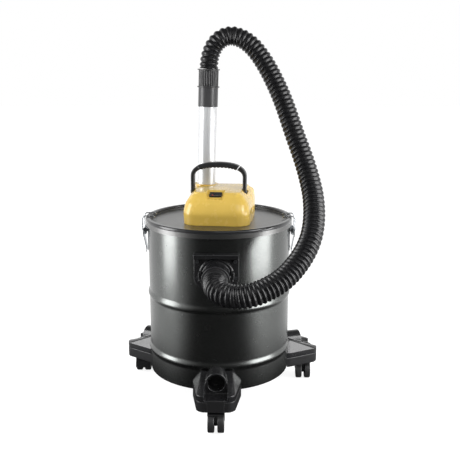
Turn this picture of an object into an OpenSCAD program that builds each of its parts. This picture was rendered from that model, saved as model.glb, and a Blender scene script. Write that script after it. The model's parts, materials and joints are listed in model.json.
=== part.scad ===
// Drum shop vacuum: steel drum on three castor feet, lift-off lid with motor head,
// parked metal wand and corrugated suction hose.
// Frame: origin at the centre of the drum's flat underside, +Z up, hose inlet towards -Y.

/* [Drum] */
// Outer diameter of the drum wall
drum_d = 300; // [280:1:320]
// Height of the drum wall above its underside
drum_h = 328; // [324:1:340]
// Sheet thickness of the drum wall and base
drum_wall = 1; // [0.8:0.1:1.6]
// Height of the upturned flange of the base
base_flange_h = 12; // [6:1:20]
// Height of the lower stiffening bead
bead_low_z = 51; // [51:1:60]
// Height of the upper stiffening bead
bead_high_z = 170; // [150:1:185]
// Half height of a stiffening bead
bead_half_h = 10; // [7:0.5:11]
// How far a bead stands out of the wall
bead_depth = 2.8; // [2:0.1:3]

/* [Lid] */
// Sheet thickness of the lid
lid_wall = 1.2; // [1:0.1:1.6]
// Free width on each side of the drum wall inside the rolled rim
rim_gap = 3.2; // [2.5:0.1:4]
// Depth of the rolled rim's outer skirt
rim_h = 16; // [12:1:18]
// Depth of the lid's flat plate below the top of its rim
lid_recess = 8; // [6:0.5:10]
// Rounding of the rolled rim
rim_round = 3; // [2:0.5:3]
// Thickness of the rim gasket
lid_gasket_h = 2.8; // [2:0.1:4]
// Radius of the plate's hole for the motor pot
lid_hole_r = 57; // [56.8:0.1:58]

/* [Inlet] */
// Depth of the inlet axis below the drum wall's top
inlet_drop = 83; // [73:1:98]
// Width of the inlet plate
inlet_w = 88; // [80:1:96]
// Height of the plate above the inlet axis
inlet_up = 43; // [38:1:46]
// Straight part of the plate's sides below the inlet axis
inlet_side = 10; // [6:1:14]
// Depth of the plate's rounded bottom
inlet_round = 24; // [18:1:28]
// Thickness of the inlet plate
inlet_t = 6; // [4:0.5:8]
// Thickness of the inlet gasket
inlet_gasket_t = 1.5; // [1:0.1:3]
// Outer radius of the inlet neck
neck_r = 27.5; // [26.5:0.5:30]
// Length of the neck in front of the plate
neck_l = 38; // [30:1:44]
// Radius of the collar around the neck's root
neck_root_r = 33; // [31:0.5:36]
// Height of the ledge across the plate's top
ledge_h = 8; // [5:0.5:12]
// How far the ledge stands out in front of the plate
ledge_out = 11; // [6:0.5:14]
// Distance of the inlet screws from the plate's side edges
inlet_screw_inset = 7; // [6:0.5:8]
// Outer radius of the hose cuff
cuff_r = 23.5; // [22:0.1:24]
// Radius of the air passage in the hose cuff
cuff_bore_r = 18; // [16:0.5:20]
// Visible length of the hose cuff in front of the neck
cuff_out = 19.5; // [12:0.5:24]

/* [Clips] */
// Depth of the clip lever's pivot below the drum wall's top
clip_drop = 24.5; // [23.5:0.5:28]
// Distance of the lever's pivot from the drum wall
clip_pivot_out = 6; // [5.5:0.1:7]
// Length of the over-centre arm between lever pivot and bail pivot
clip_arm = 7; // [6.5:0.1:7.5]
// Width of the clip lever
clip_w = 30; // [26:1:34]
// Length of the clip's base plate
clip_plate_h = 50; // [44:1:54]
// Thickness of the clip's sheet metal
clip_t = 1.2; // [1:0.1:1.4]
// Radius of the bail wire
bail_r = 1.25; // [1:0.05:1.4]
// How far the bail wire stands off the lid rim
bail_off = 6.5; // [6:0.5:8]
// How far the hooked prongs reach in over the rim
bail_reach = 18.5; // [18:0.5:20]

/* [Feet] */
// Distance of the castor stems from the drum axis
castor_r = 200; // [196:1:206]
// Distance of a foot's tip beyond its castor stem
foot_tip_over = 23; // [20:1:28]
// Angle from the front foot to the foot on the left
left_foot_angle = 115; // [110:1:125]
// Angle from the front foot to the foot on the right
right_foot_angle = 108; // [105:1:125]
// Width of a foot at the drum
foot_w = 98; // [92:1:102]
// Width of a foot at its tip, before its corners are rounded
foot_tip_w = 80; // [72:1:84]
// Height of the cover's upright side walls
foot_side_h = 12; // [8:1:14]
// Corner radius of the foot's outline
foot_round = 19; // [12:1:24]
// Height of the seam between cover and tray
foot_seam_z = 9; // [6:1:12]
// Depth of the tray below the drum's underside
tray_low = 12; // [10:1:14]
// Width of the cover at its top edge
foot_top_w = 64; // [56:1:70]
// Height of the cover's top edge at the drum
foot_top_z = 44; // [40:0.5:45]
// Wall thickness of the foot mouldings
foot_wall = 2.5; // [2:0.1:3.5]
// Height of the accessory socket's axis
socket_z = 33; // [31:0.5:34]
// Outer radius of the accessory socket
socket_r = 21; // [20:0.5:22]
// Bore radius of the accessory socket
socket_bore_r = 17; // [15:0.5:18]
// Distance of the socket's mouth from the drum axis
socket_mouth_r = 188; // [180:1:194]
// Depth of the socket's bore
socket_depth = 30; // [24:1:32]
// Clearance beside the socket in the recess before it
recess_side = 1.5; // [1:0.5:3]

/* [Castors] */
// Radius of the castor wheels
wheel_r = 20; // [18:0.5:20.5]
// Width of one castor wheel
wheel_w = 13; // [10:0.5:14]
// Gap between a wheel and the castor's web
wheel_gap = 0.6; // [0.4:0.1:1]
// Height of the wheel axle below the drum's underside
axle_low = 40; // [40:0.5:42]
// Offset of the wheel axle from the castor stem
castor_trail = 7; // [5:0.5:9]
// Thickness of the castor's web
web_t = 5.2; // [4:0.1:6]
// Radius of the wheel axle
axle_r = 3; // [2.5:0.1:3.5]
// Radius of the castor stem
stem_r = 4; // [3:0.1:5]
// Thickness of the castor's hood
hood_t = 2.2; // [1.6:0.1:3]

/* [Head] */
// Turn of the motor head on the lid
head_yaw = -6; // [-10:0.5:0]
// Half width of the head at its widest
head_half_w = 75; // [72:0.5:78]
// Height of the head's crown above the lid plate
head_h = 67; // [64:0.5:70]
// Wall thickness of the head cover
head_wall = 3; // [2.5:0.1:3.5]
// Depth of the shallow scoops in the head's flanks
scoop_depth = 1.8; // [1:0.1:2]
// Width of the switch recess at its top
switch_w = 39; // [36:1:42]
// Width of the rocker
rocker_w = 25; // [20:0.5:26]
// Length of the rocker
rocker_l = 13; // [11:0.5:14]
// Full travel of the rocker in degrees
rocker_travel = 16; // [10:1:18]

/* [Carry handle] */
// Half width of the handle over its legs
handle_half_w = 59; // [58:0.5:59.5]
// Thickness of the handle's legs
handle_t = 8; // [6:0.5:8.5]
// Thickness of the grip in its middle
grip_t = 10.5; // [9:0.5:12]
// Width of the handle from front to back
handle_d = 17; // [14:0.5:18]
// Height of the handle's top above its pivot
handle_rise = 63; // [58:0.5:68]
// Height of the handle's shoulder curve
shoulder_h = 31; // [26:0.5:34]
// Half length of the grip
grip_half = 44; // [38:0.5:46]
// Radius of the handle pins
handle_pin_r = 3; // [2.5:0.1:3.5]

/* [Wand and hose] */
// Outer radius of the wand tube
wand_r = 19.5; // [18:0.1:19.8]
// Wall of the wand tube
wand_wall = 1; // [0.8:0.1:1.5]
// Sideways place of the wand's foot on the head
wand_x = -29; // [-31:1:-27]
// Front to back place of the wand
wand_y = 48; // [46:0.5:49]
// Depth of the wand's park socket below the head's crown
park_depth = 40; // [34:1:41]
// Wall of the park socket's liner
liner_wall = 2.5; // [2:0.1:3]
// Radius of the smooth collar at the wand's top
collar_r = 20.8; // [20.4:0.1:22]
// Length of the smooth collar
collar_l = 40; // [30:1:48]
// Length of the ribbed grip above the collar
grip_l = 38; // [34:1:42]
// Radius of the flange rings of the ribbed grip
grip_ring_r = 23.6; // [22.5:0.1:25]
// Hose radius at the inlet end
hose_r_low = 23; // [21:0.1:23.4]
// Hose radius at the wand end
hose_r_high = 19.6; // [18:0.1:20.4]

/* [Motor and filter] */
// Outer radius of the motor pot
pot_r = 56.5; // [55:0.1:56.6]
// Wall of the motor pot
pot_wall = 2.5; // [2:0.1:3]
// Depth of the pot below the lid plate
pot_depth = 109; // [106:1:114]
// Radius of the pot's flange
pot_flange_r = 65; // [64:0.1:66]
// Outer radius of the filter cartridge
filter_r = 60; // [52:1:64]
// Length of the filter cartridge
filter_l = 72; // [60:1:80]
// Number of filter pleats
filter_pleats = 36; // [24:1:48]
// Radius of the filter cage
cage_r = 40; // [36:0.5:42]
// Radius of the motor shaft
shaft_r = 4; // [3.5:0.1:4.5]
// Radius of the armature core
armature_r = 28; // [24:0.5:29]
// Outer radius of the stator
stator_r = 41.7; // [38:0.1:42]
// Radius of the impeller
impeller_r = 43; // [38:0.5:44]
// Outer radius of the shaft bearings
bearing_r = 11; // [9:0.5:12]

/* [Hidden] */
$fn = 96;

// Clearances
run_gap = 0.05;     // shaft in its bore
slip_gap = 0.1;     // pieces pushed together
side_gap = 0.3;     // pieces that move past each other
eps = 0.01;
hull_fn = 32;

// Colours
c_drum = "#3a3d3d";
c_lid = "#929292";
c_black = "#1b1c1d";
c_grey = "#2b2d2e";
c_yellow = "#e7c561";
c_steel = "#b9bcc0";
c_rubber = "#151515";
c_paper = "#d8cfb8";
c_copper = "#b06a36";

// Drum and lid
drum_r = drum_d / 2;
rim_r = drum_r + rim_gap + lid_wall + side_gap;
rim_in_r = drum_r - drum_wall - rim_gap + side_gap;
rim_top_z = drum_h + lid_gasket_h + lid_wall;
plate_z = rim_top_z - lid_recess;
pot_low_z = plate_z - pot_depth;

// Inlet
inlet_z = drum_h - inlet_drop;
inlet_screw_x = inlet_w / 2 - inlet_screw_inset;
inlet_seat_r = drum_r + inlet_gasket_t;
inlet_face_r = inlet_seat_r + inlet_t;
neck_end_y = -(inlet_face_r + neck_l);
neck_bore_r = cuff_r + 2 * slip_gap;
cuff_in = 30;
deflector_l = 48;
cuff_ring_t = 4;
screw_r = 2;
screw_head_r = 3.8;
screw_head_h = 2.2;
screw_l = inlet_t + inlet_gasket_t + 8;
inlet_screws_at = [[-inlet_screw_x, -6], [inlet_screw_x, -6],
    [-inlet_screw_x, inlet_up - ledge_h - 8], [inlet_screw_x, inlet_up - ledge_h - 8]];

// Clips, in a frame with x outwards from the drum axis
clip_x = drum_r + clip_pivot_out;
clip_z = drum_h - clip_drop;
clip_start = -90;
bail_x = clip_x + clip_arm * cos(clip_start);
bail_z = clip_z + clip_arm * sin(clip_start);
bail_half = clip_w / 2 + 3;
clip_pin_r = 1.5;
ear_r = 3.4;
ear_y = clip_w / 2 - clip_t - side_gap;
plate_w = 2 * ear_y;
plate_top_z = clip_z + 5;
plate_back = drum_r + clip_t;
lever_face = clip_x + ear_r + side_gap;
rivet_r = 2;
rivets_z = [plate_top_z - 15, plate_top_z - clip_plate_h + 6];

// Side wire of the bail: up from its pivot, over the rim and down inside it
bail_out = rim_r + bail_off;
bail_over = rim_top_z + bail_r + 0.6;
bail_tip = rim_r - bail_reach;
bail_bend = 7;
tip_bend = 3;
tip_end = 0.5;

// Feet and castors
foot_angles = [0, -left_foot_angle, right_foot_angle];
castor_turns = [180, 0, 180];
foot_gap = 0.2;
foot_tip_r = castor_r + foot_tip_over;
foot_low_z = -tray_low;
castor_gap = 0.4;
castor_top_z = foot_low_z - castor_gap;
boss_r = stem_r + 5;
stem_top_z = foot_seam_z - 6;
wheel_in = web_t / 2 + wheel_gap;
wheel_out = wheel_in + wheel_w;
hood_gap = 1;
hood_in_r = wheel_r + hood_gap;
hood_out_r = hood_in_r + hood_t;
foot_screw_r = 1.7;
foot_screw_y = drum_r + 12;
foot_screw_x = foot_w / 2 - 10;

// Head
head_low_z = plate_z;
crown_z = plate_z + head_h;
pivot_z = crown_z - 8;
pocket_x = handle_half_w - handle_t - side_gap;
pocket_half = handle_d / 2 + 9;
pocket_low_z = pivot_z - handle_d / 2 - 1;
foot_len = handle_d / 2;
handle_top_z = pivot_z + handle_rise;
shoulder_z = handle_top_z - shoulder_h;
head_base_z = plate_z + pot_wall;
cut_l = 120;
head_base_half = head_half_w - 13.5;

// Slices of the head: height above the lid plate, change of half width, front, rear, corner radius
head_slices = [[0, -6, -70, 70, 31], [10, -2, -73, 74, 32], [26, 0, -75, 77, 30],
    [44, -6, -69, 76, 24], [59, -16, -58, 73, 17], [64, -20, -54, 70, 14]];
head_rear = head_slices[2][3];

// Openings in the head's rear
grille_w = 52;
grille_x = 5;
grille_z = head_low_z + 16;
grille_h = 24;
gland_r = 8;
gland_x = 47;
gland_y = head_half_w - 14;
gland_z = head_low_z + 22;
gland_seat = head_rear - gland_y + slip_gap;

// Switch panel, tilted towards the user
panel_tilt = 32;
panel_y = -46;
panel_z = crown_z - 7;
rocker_pivot = -1;
rocker_rest = -rocker_travel / 2;
pocket_depth = 5;

// Wand, in a frame with its foot at the origin and its axis along z
wand_rise = 244;
wand_shift = 7;
wand_lean = atan2(wand_shift, wand_rise);
wand_len = norm([wand_shift, wand_rise]);
wand_foot_z = crown_z + 1;
liner_r = wand_r + 0.4 + liner_wall;
liner_low = crown_z - wand_foot_z - park_depth;
liner_flange_r = liner_r + 3;
liner_flange_t = 2;
liner_flange_z = liner_low + park_depth + 0.8;
boss_t = 5;
grip_low = wand_len - grip_l;
collar_low = grip_low - collar_l;
wand_top = grip_low + 8;

// Motor stack on the pot's bottom
pot_in_z = pot_low_z + pot_wall;
fan_h = 32;
fan_r = impeller_r + 5;
fan_wall = 2;
fan_vent_w = 14;
fan_vent_h = 6;
fan_vent_drop = 10;
frame_z = pot_in_z + fan_h;
frame_h = 72;
frame_top_z = frame_z + frame_h;
bracket_t = 4;
post_r = 3.5;
post_at = stator_r + side_gap + post_r;
bracket_r = post_at + post_r + 1.5;
bearing_h = 7;
bearing_boss_h = 8;
stator_z = frame_z + 16;
stator_l = 40;
armature_z = stator_z + 2;
commutator_r = bearing_r + 2.6;
commutator_z = frame_top_z - 14;
shaft_low_z = pot_in_z + 5;
shaft_top_z = frame_top_z + 8;
impeller_z = pot_in_z + 6;
impeller_h = 20;
pot_screw_r = 1.5;
pot_screw_at = (lid_hole_r + pot_flange_r) / 2;

// Filter below the pot
filter_top_z = pot_low_z - 2.8;
filter_low_z = filter_top_z - filter_l;
filter_cap_t = 3;
nut_t = 7;
nut_wing = 14;
wing_h = 8;
stud_r = 5;
stud_low_z = filter_low_z - nut_t - wing_h;

// Hose centreline from the inlet cuff to the wand's ribbed grip
hose_points = [[0, -215, 245], [3, -236, 242], [15, -254, 238], [38, -264, 236], [70, -264, 240],
    [101, -252, 250], [126, -236, 262], [147, -216, 278], [165, -194, 297], [179, -170, 319],
    [187, -145, 343], [190, -120, 368], [189, -96, 394], [184, -75, 420], [177, -58, 446],
    [168, -43, 473], [158, -30, 500], [148, -17, 529], [138, -4, 558], [127, 8, 586],
    [114, 20, 614], [100, 30, 640], [85, 38, 663], [68, 44, 683], [48, 48, 697], [27, 50, 703],
    [8, 50, 699], [-6, 50, 688], [-15, 49, 673], [-20, 48, 656], [-22, 48, 636]];
hose_start_dir = [0, -1, 0];
hose_end_dir = [-wand_shift, 0, -wand_rise] / wand_len;
hose_steps = 2;
hose_sides = 10;

function unit(v) = v / norm(v);
function arc(cx, cy, r, a0, a1, n) =
    [for (i = [0:n]) let (a = a0 + (a1 - a0) * i / n) [cx + r * cos(a), cy + r * sin(a)]];

// ---- Round tube along a line of points -----------------------------------

function along(line, first, last) = [for (i = [0:len(line) - 1])
    i == 0 ? first : i == len(line) - 1 ? last : unit(line[i + 1] - line[i - 1])];
function level(n, dir) = unit(n - (n * dir) * dir);
function side_dirs(dirs, start) = [for (i = 0, n = start; i < len(dirs);
    i = i + 1, n = i < len(dirs) ? level(n, dirs[i]) : n) n];

module swept(line, dirs, start, radii, sides) {
    last = len(line) - 1;
    normals = side_dirs(dirs, start);
    skin = [for (i = [0:last], k = [0:sides - 1])
        let (a = 360 * k / sides, n = normals[i])
        line[i] + radii[i] * (cos(a) * n + sin(a) * cross(dirs[i], n))];
    walls = [for (i = [0:last - 1], k = [0:sides - 1])
        let (m = (k + 1) % sides, p = i * sides, q = p + sides) [p + k, q + k, q + m, p + m]];
    polyhedron(points = skin, faces = concat([[for (k = [0:sides - 1]) k]], walls,
        [[for (k = [sides - 1:-1:0]) last * sides + k]]), convexity = 6);
}

// ---- Drum ----------------------------------------------------------------

function bead(r, z) =
    [for (s = [-1:0.2:1]) [r + bead_depth * (0.5 + 0.5 * cos(180 * s)), z + bead_half_h * s]];
function wall_line(r) = concat([[r, 0]], bead(r, bead_low_z), bead(r, bead_high_z), [[r, drum_h]]);
function reversed(list) = [for (i = [len(list) - 1:-1:0]) list[i]];

module along_inlet(x = 0, z = 0) {
    translate([x, 0, inlet_z + z]) rotate([90, 0, 0]) children();
}

function inlet_screw_seat(p) = sqrt(inlet_face_r ^ 2 - p[0] ^ 2) + 1.2;

// Room above the screws for their heads and the driver
module inlet_screw_room() {
    for (p = inlet_screws_at) along_inlet(p[0], p[1]) translate([0, 0, inlet_screw_seat(p)])
        cylinder(r = screw_head_r + slip_gap, h = neck_l);
}

module inlet_screw_holes(r) {
    for (p = inlet_screws_at) along_inlet(p[0], p[1]) cylinder(r = r, h = inlet_face_r + ledge_out + 20);
}

module drum_shell() {
    color(c_drum) difference() {
        rotate_extrude() polygon(concat(wall_line(drum_r), reversed(wall_line(drum_r - drum_wall))));
        along_inlet() cylinder(r = neck_bore_r, h = drum_r + 10);
        inlet_screw_holes(screw_r + slip_gap);
        for (side = [0, 180]) rotate([0, 0, side]) clip_rivet_holes();
    }
}

module drum_base() {
    color(c_drum) rotate_extrude() {
        square([drum_r - drum_wall, drum_wall]);
        translate([drum_r - 2 * drum_wall, 0]) square([drum_wall, base_flange_h]);
    }
}

// ---- Inlet ---------------------------------------------------------------

function inlet_outline(inset) = concat(
    [[-inlet_w / 2 + inset, inlet_up - inset], [-inlet_w / 2 + inset, -inlet_side]],
    [for (a = [170:-10:10]) [(inlet_w / 2 - inset) * cos(a), -inlet_side - (inlet_round - inset) * sin(a)]],
    [[inlet_w / 2 - inset, -inlet_side], [inlet_w / 2 - inset, inlet_up - inset]]);

module inlet_layer(r0, r1, inset) {
    intersection() {
        along_inlet() linear_extrude(height = r1 + 1) polygon(inlet_outline(inset));
        translate([0, 0, inlet_z - inlet_w]) difference() {
            cylinder(r = r1, h = 2 * inlet_w);
            translate([0, 0, -1]) cylinder(r = r0, h = 2 * inlet_w + 2);
        }
    }
}

module inlet_ledge() {
    difference() {
        translate([-inlet_w / 2, -inlet_face_r - ledge_out, inlet_z + inlet_up - ledge_h])
            cube([inlet_w, inlet_face_r + ledge_out - drum_r * 0.9, ledge_h]);
        cylinder(r = inlet_seat_r, h = drum_h);
    }
}

module inlet_lugs() {
    for (side = [-1, 1]) translate([side * (neck_root_r - 1) - 3, -inlet_face_r - 12, inlet_z - 9])
        cube([6, 13, 18]);
}

module inlet_flange() {
    color(c_black) difference() {
        union() {
            inlet_layer(inlet_seat_r, inlet_face_r, 0);
            inlet_ledge();
            inlet_lugs();
            difference() {
                union() {
                    along_inlet() cylinder(r = neck_r, h = -neck_end_y);
                    along_inlet() cylinder(r = neck_root_r, h = inlet_face_r + 5);
                }
                cylinder(r = inlet_seat_r, h = drum_h);
            }
        }
        along_inlet() cylinder(r = neck_bore_r, h = 2 * drum_r);
        inlet_screw_holes(screw_r + slip_gap);
        inlet_screw_room();
    }
}

module inlet_gasket() {
    color(c_rubber) difference() {
        inlet_layer(drum_r, inlet_seat_r, 2);
        along_inlet() cylinder(r = neck_bore_r + 2, h = 2 * drum_r);
        inlet_screw_holes(screw_r + slip_gap);
    }
}

module inlet_screws() {
    color(c_steel) for (p = inlet_screws_at) along_inlet(p[0], p[1]) {
        seat = inlet_screw_seat(p);
        translate([0, 0, seat - screw_l]) cylinder(r = screw_r, h = screw_l + 1);
        translate([0, 0, seat]) cylinder(r = screw_head_r, h = screw_head_h);
    }
}

module inlet_deflector() {
    half = neck_bore_r + 6;
    tall = 2 * half + 6;
    t = 2;
    color(c_grey) intersection() {
        difference() {
            translate([-half, -drum_r, inlet_z + half - tall]) cube([2 * half, deflector_l, tall]);
            translate([-half + t, -drum_r - 1, inlet_z + half - tall - 1])
                cube([2 * (half - t), deflector_l + 1 - t, tall + 1 - t]);
        }
        cylinder(r = drum_r - drum_wall, h = drum_h);
    }
}

module hose_cuff() {
    color(c_black) difference() {
        along_inlet() {
            translate([0, 0, -neck_end_y - cuff_in]) cylinder(r = cuff_r, h = cuff_in + cuff_out);
            translate([0, 0, -neck_end_y]) cylinder(r = neck_r, h = cuff_ring_t);
        }
        along_inlet() cylinder(r = cuff_bore_r, h = 2 * drum_r);
    }
}

// ---- Hose ----------------------------------------------------------------

hose_last = len(hose_points) - 1;
function hose_at(i) = hose_points[min(max(i, 0), hose_last)];
function spline(i, t) = let (a = hose_at(i - 1), b = hose_at(i), c = hose_at(i + 1), d = hose_at(i + 2))
    0.5 * (2 * b + (c - a) * t + (2 * a - 5 * b + 4 * c - d) * t ^ 2 + (3 * b - a - 3 * c + d) * t ^ 3);
hose_line = concat([for (i = [0:hose_last - 1], k = [0:hose_steps - 1]) spline(i, k / hose_steps)],
    [hose_points[hose_last]]);
hose_rings = len(hose_line);
hose_dirs = along(hose_line, hose_start_dir, hose_end_dir);
hose_radii = [for (i = [0:hose_rings - 1]) hose_r_low + (hose_r_high - hose_r_low) * i / (hose_rings - 1)];

module suction_hose() {
    color(c_black) swept(hose_line, hose_dirs, [0, 0, 1], hose_radii, hose_sides);
}

// ---- Clips ---------------------------------------------------------------

module on_side(side) {
    rotate([0, 0, side]) children();
}

module across(x, z, r, half) {
    translate([x, half, z]) rotate([90, 0, 0]) cylinder(r = r, h = 2 * half);
}

module clip_rivet_holes() {
    for (z = rivets_z) translate([drum_r - 10, 0, z]) rotate([0, 90, 0])
        cylinder(r = rivet_r + slip_gap, h = 20);
}

module clip_ear(y) {
    translate([0, y, 0]) rotate([90, 0, 0]) linear_extrude(height = clip_t) polygon(concat(
        [[plate_back - clip_t / 2, clip_z - 3.5], [clip_x, clip_z - ear_r]],
        arc(clip_x, clip_z, ear_r, -80, 80, 8),
        [[clip_x, clip_z + ear_r], [plate_back - clip_t / 2, clip_z + 1]]));
}

module clip_plate(side) {
    color(c_steel) on_side(side) difference() {
        union() {
            intersection() {
                translate([drum_r - 5, -plate_w / 2, plate_top_z - clip_plate_h])
                    cube([10, plate_w, clip_plate_h]);
                difference() {
                    cylinder(r = plate_back, h = drum_h);
                    translate([0, 0, -1]) cylinder(r = drum_r + run_gap, h = drum_h + 2);
                }
            }
            difference() {
                union() {
                    clip_ear(ear_y);
                    clip_ear(clip_t - ear_y);
                }
                cylinder(r = drum_r + clip_t / 2, h = drum_h);
            }
        }
        across(clip_x, clip_z, clip_pin_r, clip_w);
        clip_rivet_holes();
    }
}

module clip_rivets() {
    color(c_steel) for (side = [0, 180], z = rivets_z) on_side(side) translate([0, 0, z])
        rotate([0, 90, 0]) {
        translate([0, 0, drum_r - drum_wall - 1]) cylinder(r = rivet_r + 1, h = 0.8);
        translate([0, 0, drum_r - drum_wall - 1]) cylinder(r = rivet_r, h = drum_wall + clip_t + 1);
        translate([0, 0, plate_back]) cylinder(r1 = rivet_r + 1.4, r2 = rivet_r, h = 1);
    }
}

module clip_pin(side) {
    color(c_steel) on_side(side) across(clip_x, clip_z, clip_pin_r, clip_w / 2 + 1);
}

module clip_cheek(y) {
    translate([0, y, 0]) rotate([90, 0, 0]) linear_extrude(height = clip_t) polygon(concat(
        arc(clip_x, clip_z, lever_face - clip_x + clip_t, 0, 170, 12),
        arc(bail_x, bail_z, ear_r - 0.6, 190, 300, 8),
        [[lever_face + clip_t, bail_z - 4]]));
}

module clip_lever(side) {
    color(c_steel) on_side(side) difference() {
        union() {
            clip_cheek(clip_w / 2);
            clip_cheek(clip_t - clip_w / 2);
            translate([lever_face, -clip_w / 2, bail_z - 8]) cube([clip_t, clip_w, clip_z - bail_z + 8]);
            translate([0, clip_w * 0.3, 0]) rotate([90, 0, 0]) linear_extrude(height = clip_w * 0.6)
                polygon([
                    [lever_face, bail_z - 7], [lever_face + clip_t, bail_z - 7],
                    [drum_r + 5.2, bail_z - 38], [drum_r + 7, bail_z - 43],
                    [drum_r + 5.8, bail_z - 43.5], [drum_r + 3.8, bail_z - 38]]);
        }
        across(clip_x, clip_z, clip_pin_r + run_gap, clip_w);
        across(bail_x, bail_z, bail_r + run_gap, clip_w);
    }
}

bail_line = [for (p = concat(
    [[bail_x, bail_z - bail_r], [bail_x, bail_z + 1], [bail_out, bail_z + 8]],
    arc(bail_out - bail_bend, bail_over - bail_bend, bail_bend, 0, 90, 5),
    arc(bail_tip + tip_bend, bail_over - tip_bend, tip_bend, 90, 180, 4),
    [[bail_tip, bail_over - tip_bend - tip_end]])) [p[0], 0, p[1]]];

module bail_prong(y) {
    translate([0, y, 0]) swept(bail_line, along(bail_line, [0, 0, 1], [0, 0, -1]), [0, 1, 0],
        [for (p = bail_line) bail_r], 8);
}

module clip_bail(side) {
    color(c_steel) on_side(side) {
        for (y = [-bail_half, bail_half]) bail_prong(y);
        across(bail_x, bail_z, bail_r, bail_half);
    }
}

// ---- Feet ----------------------------------------------------------------

module at_foot(i) {
    rotate([0, 0, foot_angles[i]]) children();
}

function foot_outline(inset) = let (
    w = foot_w / 2 - inset, t = foot_tip_w / 2 - inset, tip = foot_tip_r - inset, r = foot_round)
    concat([[-w, -drum_r * 0.9], [-w, -drum_r]],
        [for (p = arc(-t + r, -tip + r, r, 200, 270, 6)) p],
        [for (p = arc(t - r, -tip + r, r, 270, 340, 6)) p],
        [[w, -drum_r], [w, -drum_r * 0.9]]);

module foot_wedge(inset) {
    top_half = foot_top_w / 2 - inset;
    top_z = foot_top_z - inset;
    hull() {
        translate([0, 0, foot_seam_z]) linear_extrude(height = foot_side_h - inset)
            polygon(foot_outline(inset));
        translate([-top_half, -drum_r - 5 + inset, top_z - 3]) cube([2 * top_half, 20, 3]);
    }
}

module drum_relief() {
    translate([0, 0, foot_low_z - 1]) cylinder(r = drum_r + foot_gap, h = drum_h);
    translate([0, 0, bead_low_z - bead_half_h - 1])
        cylinder(r = drum_r + bead_depth + foot_gap, h = 2 * bead_half_h + 2);
}

module foot_screw_posts(r, z0, z1) {
    for (side = [-1, 1]) translate([side * foot_screw_x, -foot_screw_y, z0]) cylinder(r = r, h = z1 - z0);
}

// Recess from the socket's mouth to the foot's tip, level with the socket's underside
module socket_recess(grow) {
    half = socket_r + recess_side + grow;
    translate([-half, -foot_tip_r - 1, socket_z - socket_r - grow])
        cube([2 * half, foot_tip_r + 1 - socket_mouth_r + grow, foot_top_z]);
}

module foot_cover(i) {
    color(c_black) at_foot(i) difference() {
        union() {
            difference() {
                foot_wedge(0);
                translate([0, 0, -eps]) foot_wedge(foot_wall);
            }
            intersection() {
                foot_wedge(0);
                foot_screw_posts(5, foot_seam_z, foot_top_z);
            }
            intersection() {
                foot_wedge(0);
                socket_recess(foot_wall);
            }
            translate([0, -drum_r, socket_z]) rotate([90, 0, 0])
                cylinder(r = socket_r, h = socket_mouth_r - drum_r);
        }
        translate([0, -socket_mouth_r + socket_depth, socket_z]) rotate([90, 0, 0])
            cylinder(r = socket_bore_r, h = socket_depth + 1);
        socket_recess(0);
        foot_screw_posts(foot_screw_r, foot_low_z, foot_seam_z + 12);
        drum_relief();
    }
}

module foot_tray(i) {
    color(c_black) at_foot(i) difference() {
        union() {
            difference() {
                translate([0, 0, foot_low_z]) linear_extrude(height = tray_low + foot_seam_z)
                    polygon(foot_outline(0));
                translate([0, 0, foot_low_z + foot_wall]) linear_extrude(height = tray_low + foot_seam_z)
                    polygon(foot_outline(foot_wall));
            }
            translate([0, -castor_r, foot_low_z]) cylinder(r = boss_r, h = stem_top_z + 3 - foot_low_z);
            foot_screw_posts(5, foot_low_z + 1, foot_seam_z);
        }
        translate([0, -castor_r, foot_low_z - 1])
            cylinder(r = stem_r + run_gap, h = stem_top_z - foot_low_z + 1.5);
        foot_screw_posts(foot_screw_r + slip_gap, foot_low_z - 1, foot_seam_z + 1);
        foot_screw_posts(3.4, foot_low_z - 1, foot_low_z + 3);
        drum_relief();
    }
}

module foot_screws() {
    color(c_steel) for (i = [0:2]) at_foot(i) {
        foot_screw_posts(foot_screw_r, foot_low_z + 2.8, foot_seam_z + 11);
        foot_screw_posts(3.2, foot_low_z + 1, foot_low_z + 3);
    }
}

// ---- Castors -------------------------------------------------------------

module at_castor(i) {
    translate([castor_r * sin(foot_angles[i]), -castor_r * cos(foot_angles[i]), 0])
        rotate([0, 0, castor_turns[i]]) children();
}

module at_axle() {
    translate([0, castor_trail, -axle_low]) rotate([0, 90, 0]) children();
}

module hood_zone(half, r) {
    translate([-half, castor_trail - r, -axle_low - 7]) cube([2 * half, r, r + 7]);
    translate([-half, castor_trail - r, -axle_low + 5]) cube([2 * half, r + 11, r]);
}

module castor_hood(i) {
    color(c_black) at_castor(i) {
        difference() {
            union() {
                intersection() {
                    at_axle() difference() {
                        translate([0, 0, -wheel_out - 0.6])
                            cylinder(r = hood_out_r, h = 2 * wheel_out + 1.2);
                        translate([0, 0, -wheel_out - 2]) cylinder(r = hood_in_r, h = 2 * wheel_out + 4);
                    }
                    hood_zone(wheel_out + 2, hood_out_r + 2);
                }
                intersection() {
                    at_axle() translate([0, 0, -web_t / 2]) cylinder(r = hood_in_r + hood_t / 2, h = web_t);
                    hood_zone(wheel_out, hood_out_r + 2);
                }
                at_axle() translate([0, 0, -web_t / 2]) cylinder(r = axle_r + 4, h = web_t);
                difference() {
                    translate([0, 0, -axle_low + hood_in_r - 4])
                        cylinder(r = boss_r - 0.5, h = castor_top_z + axle_low - hood_in_r + 4);
                    at_axle() translate([0, 0, -wheel_out])
                        cylinder(r = hood_in_r + 0.2, h = 2 * wheel_out);
                }
            }
            at_axle() translate([0, 0, -wheel_out]) cylinder(r = axle_r, h = 2 * wheel_out);
        }
        translate([0, 0, castor_top_z - 1]) cylinder(r = stem_r, h = stem_top_z - castor_top_z + 1);
    }
}

module castor_axle(i) {
    color(c_steel) at_castor(i) at_axle() translate([0, 0, -wheel_out + 1])
        cylinder(r = axle_r, h = 2 * wheel_out - 2);
}

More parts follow.
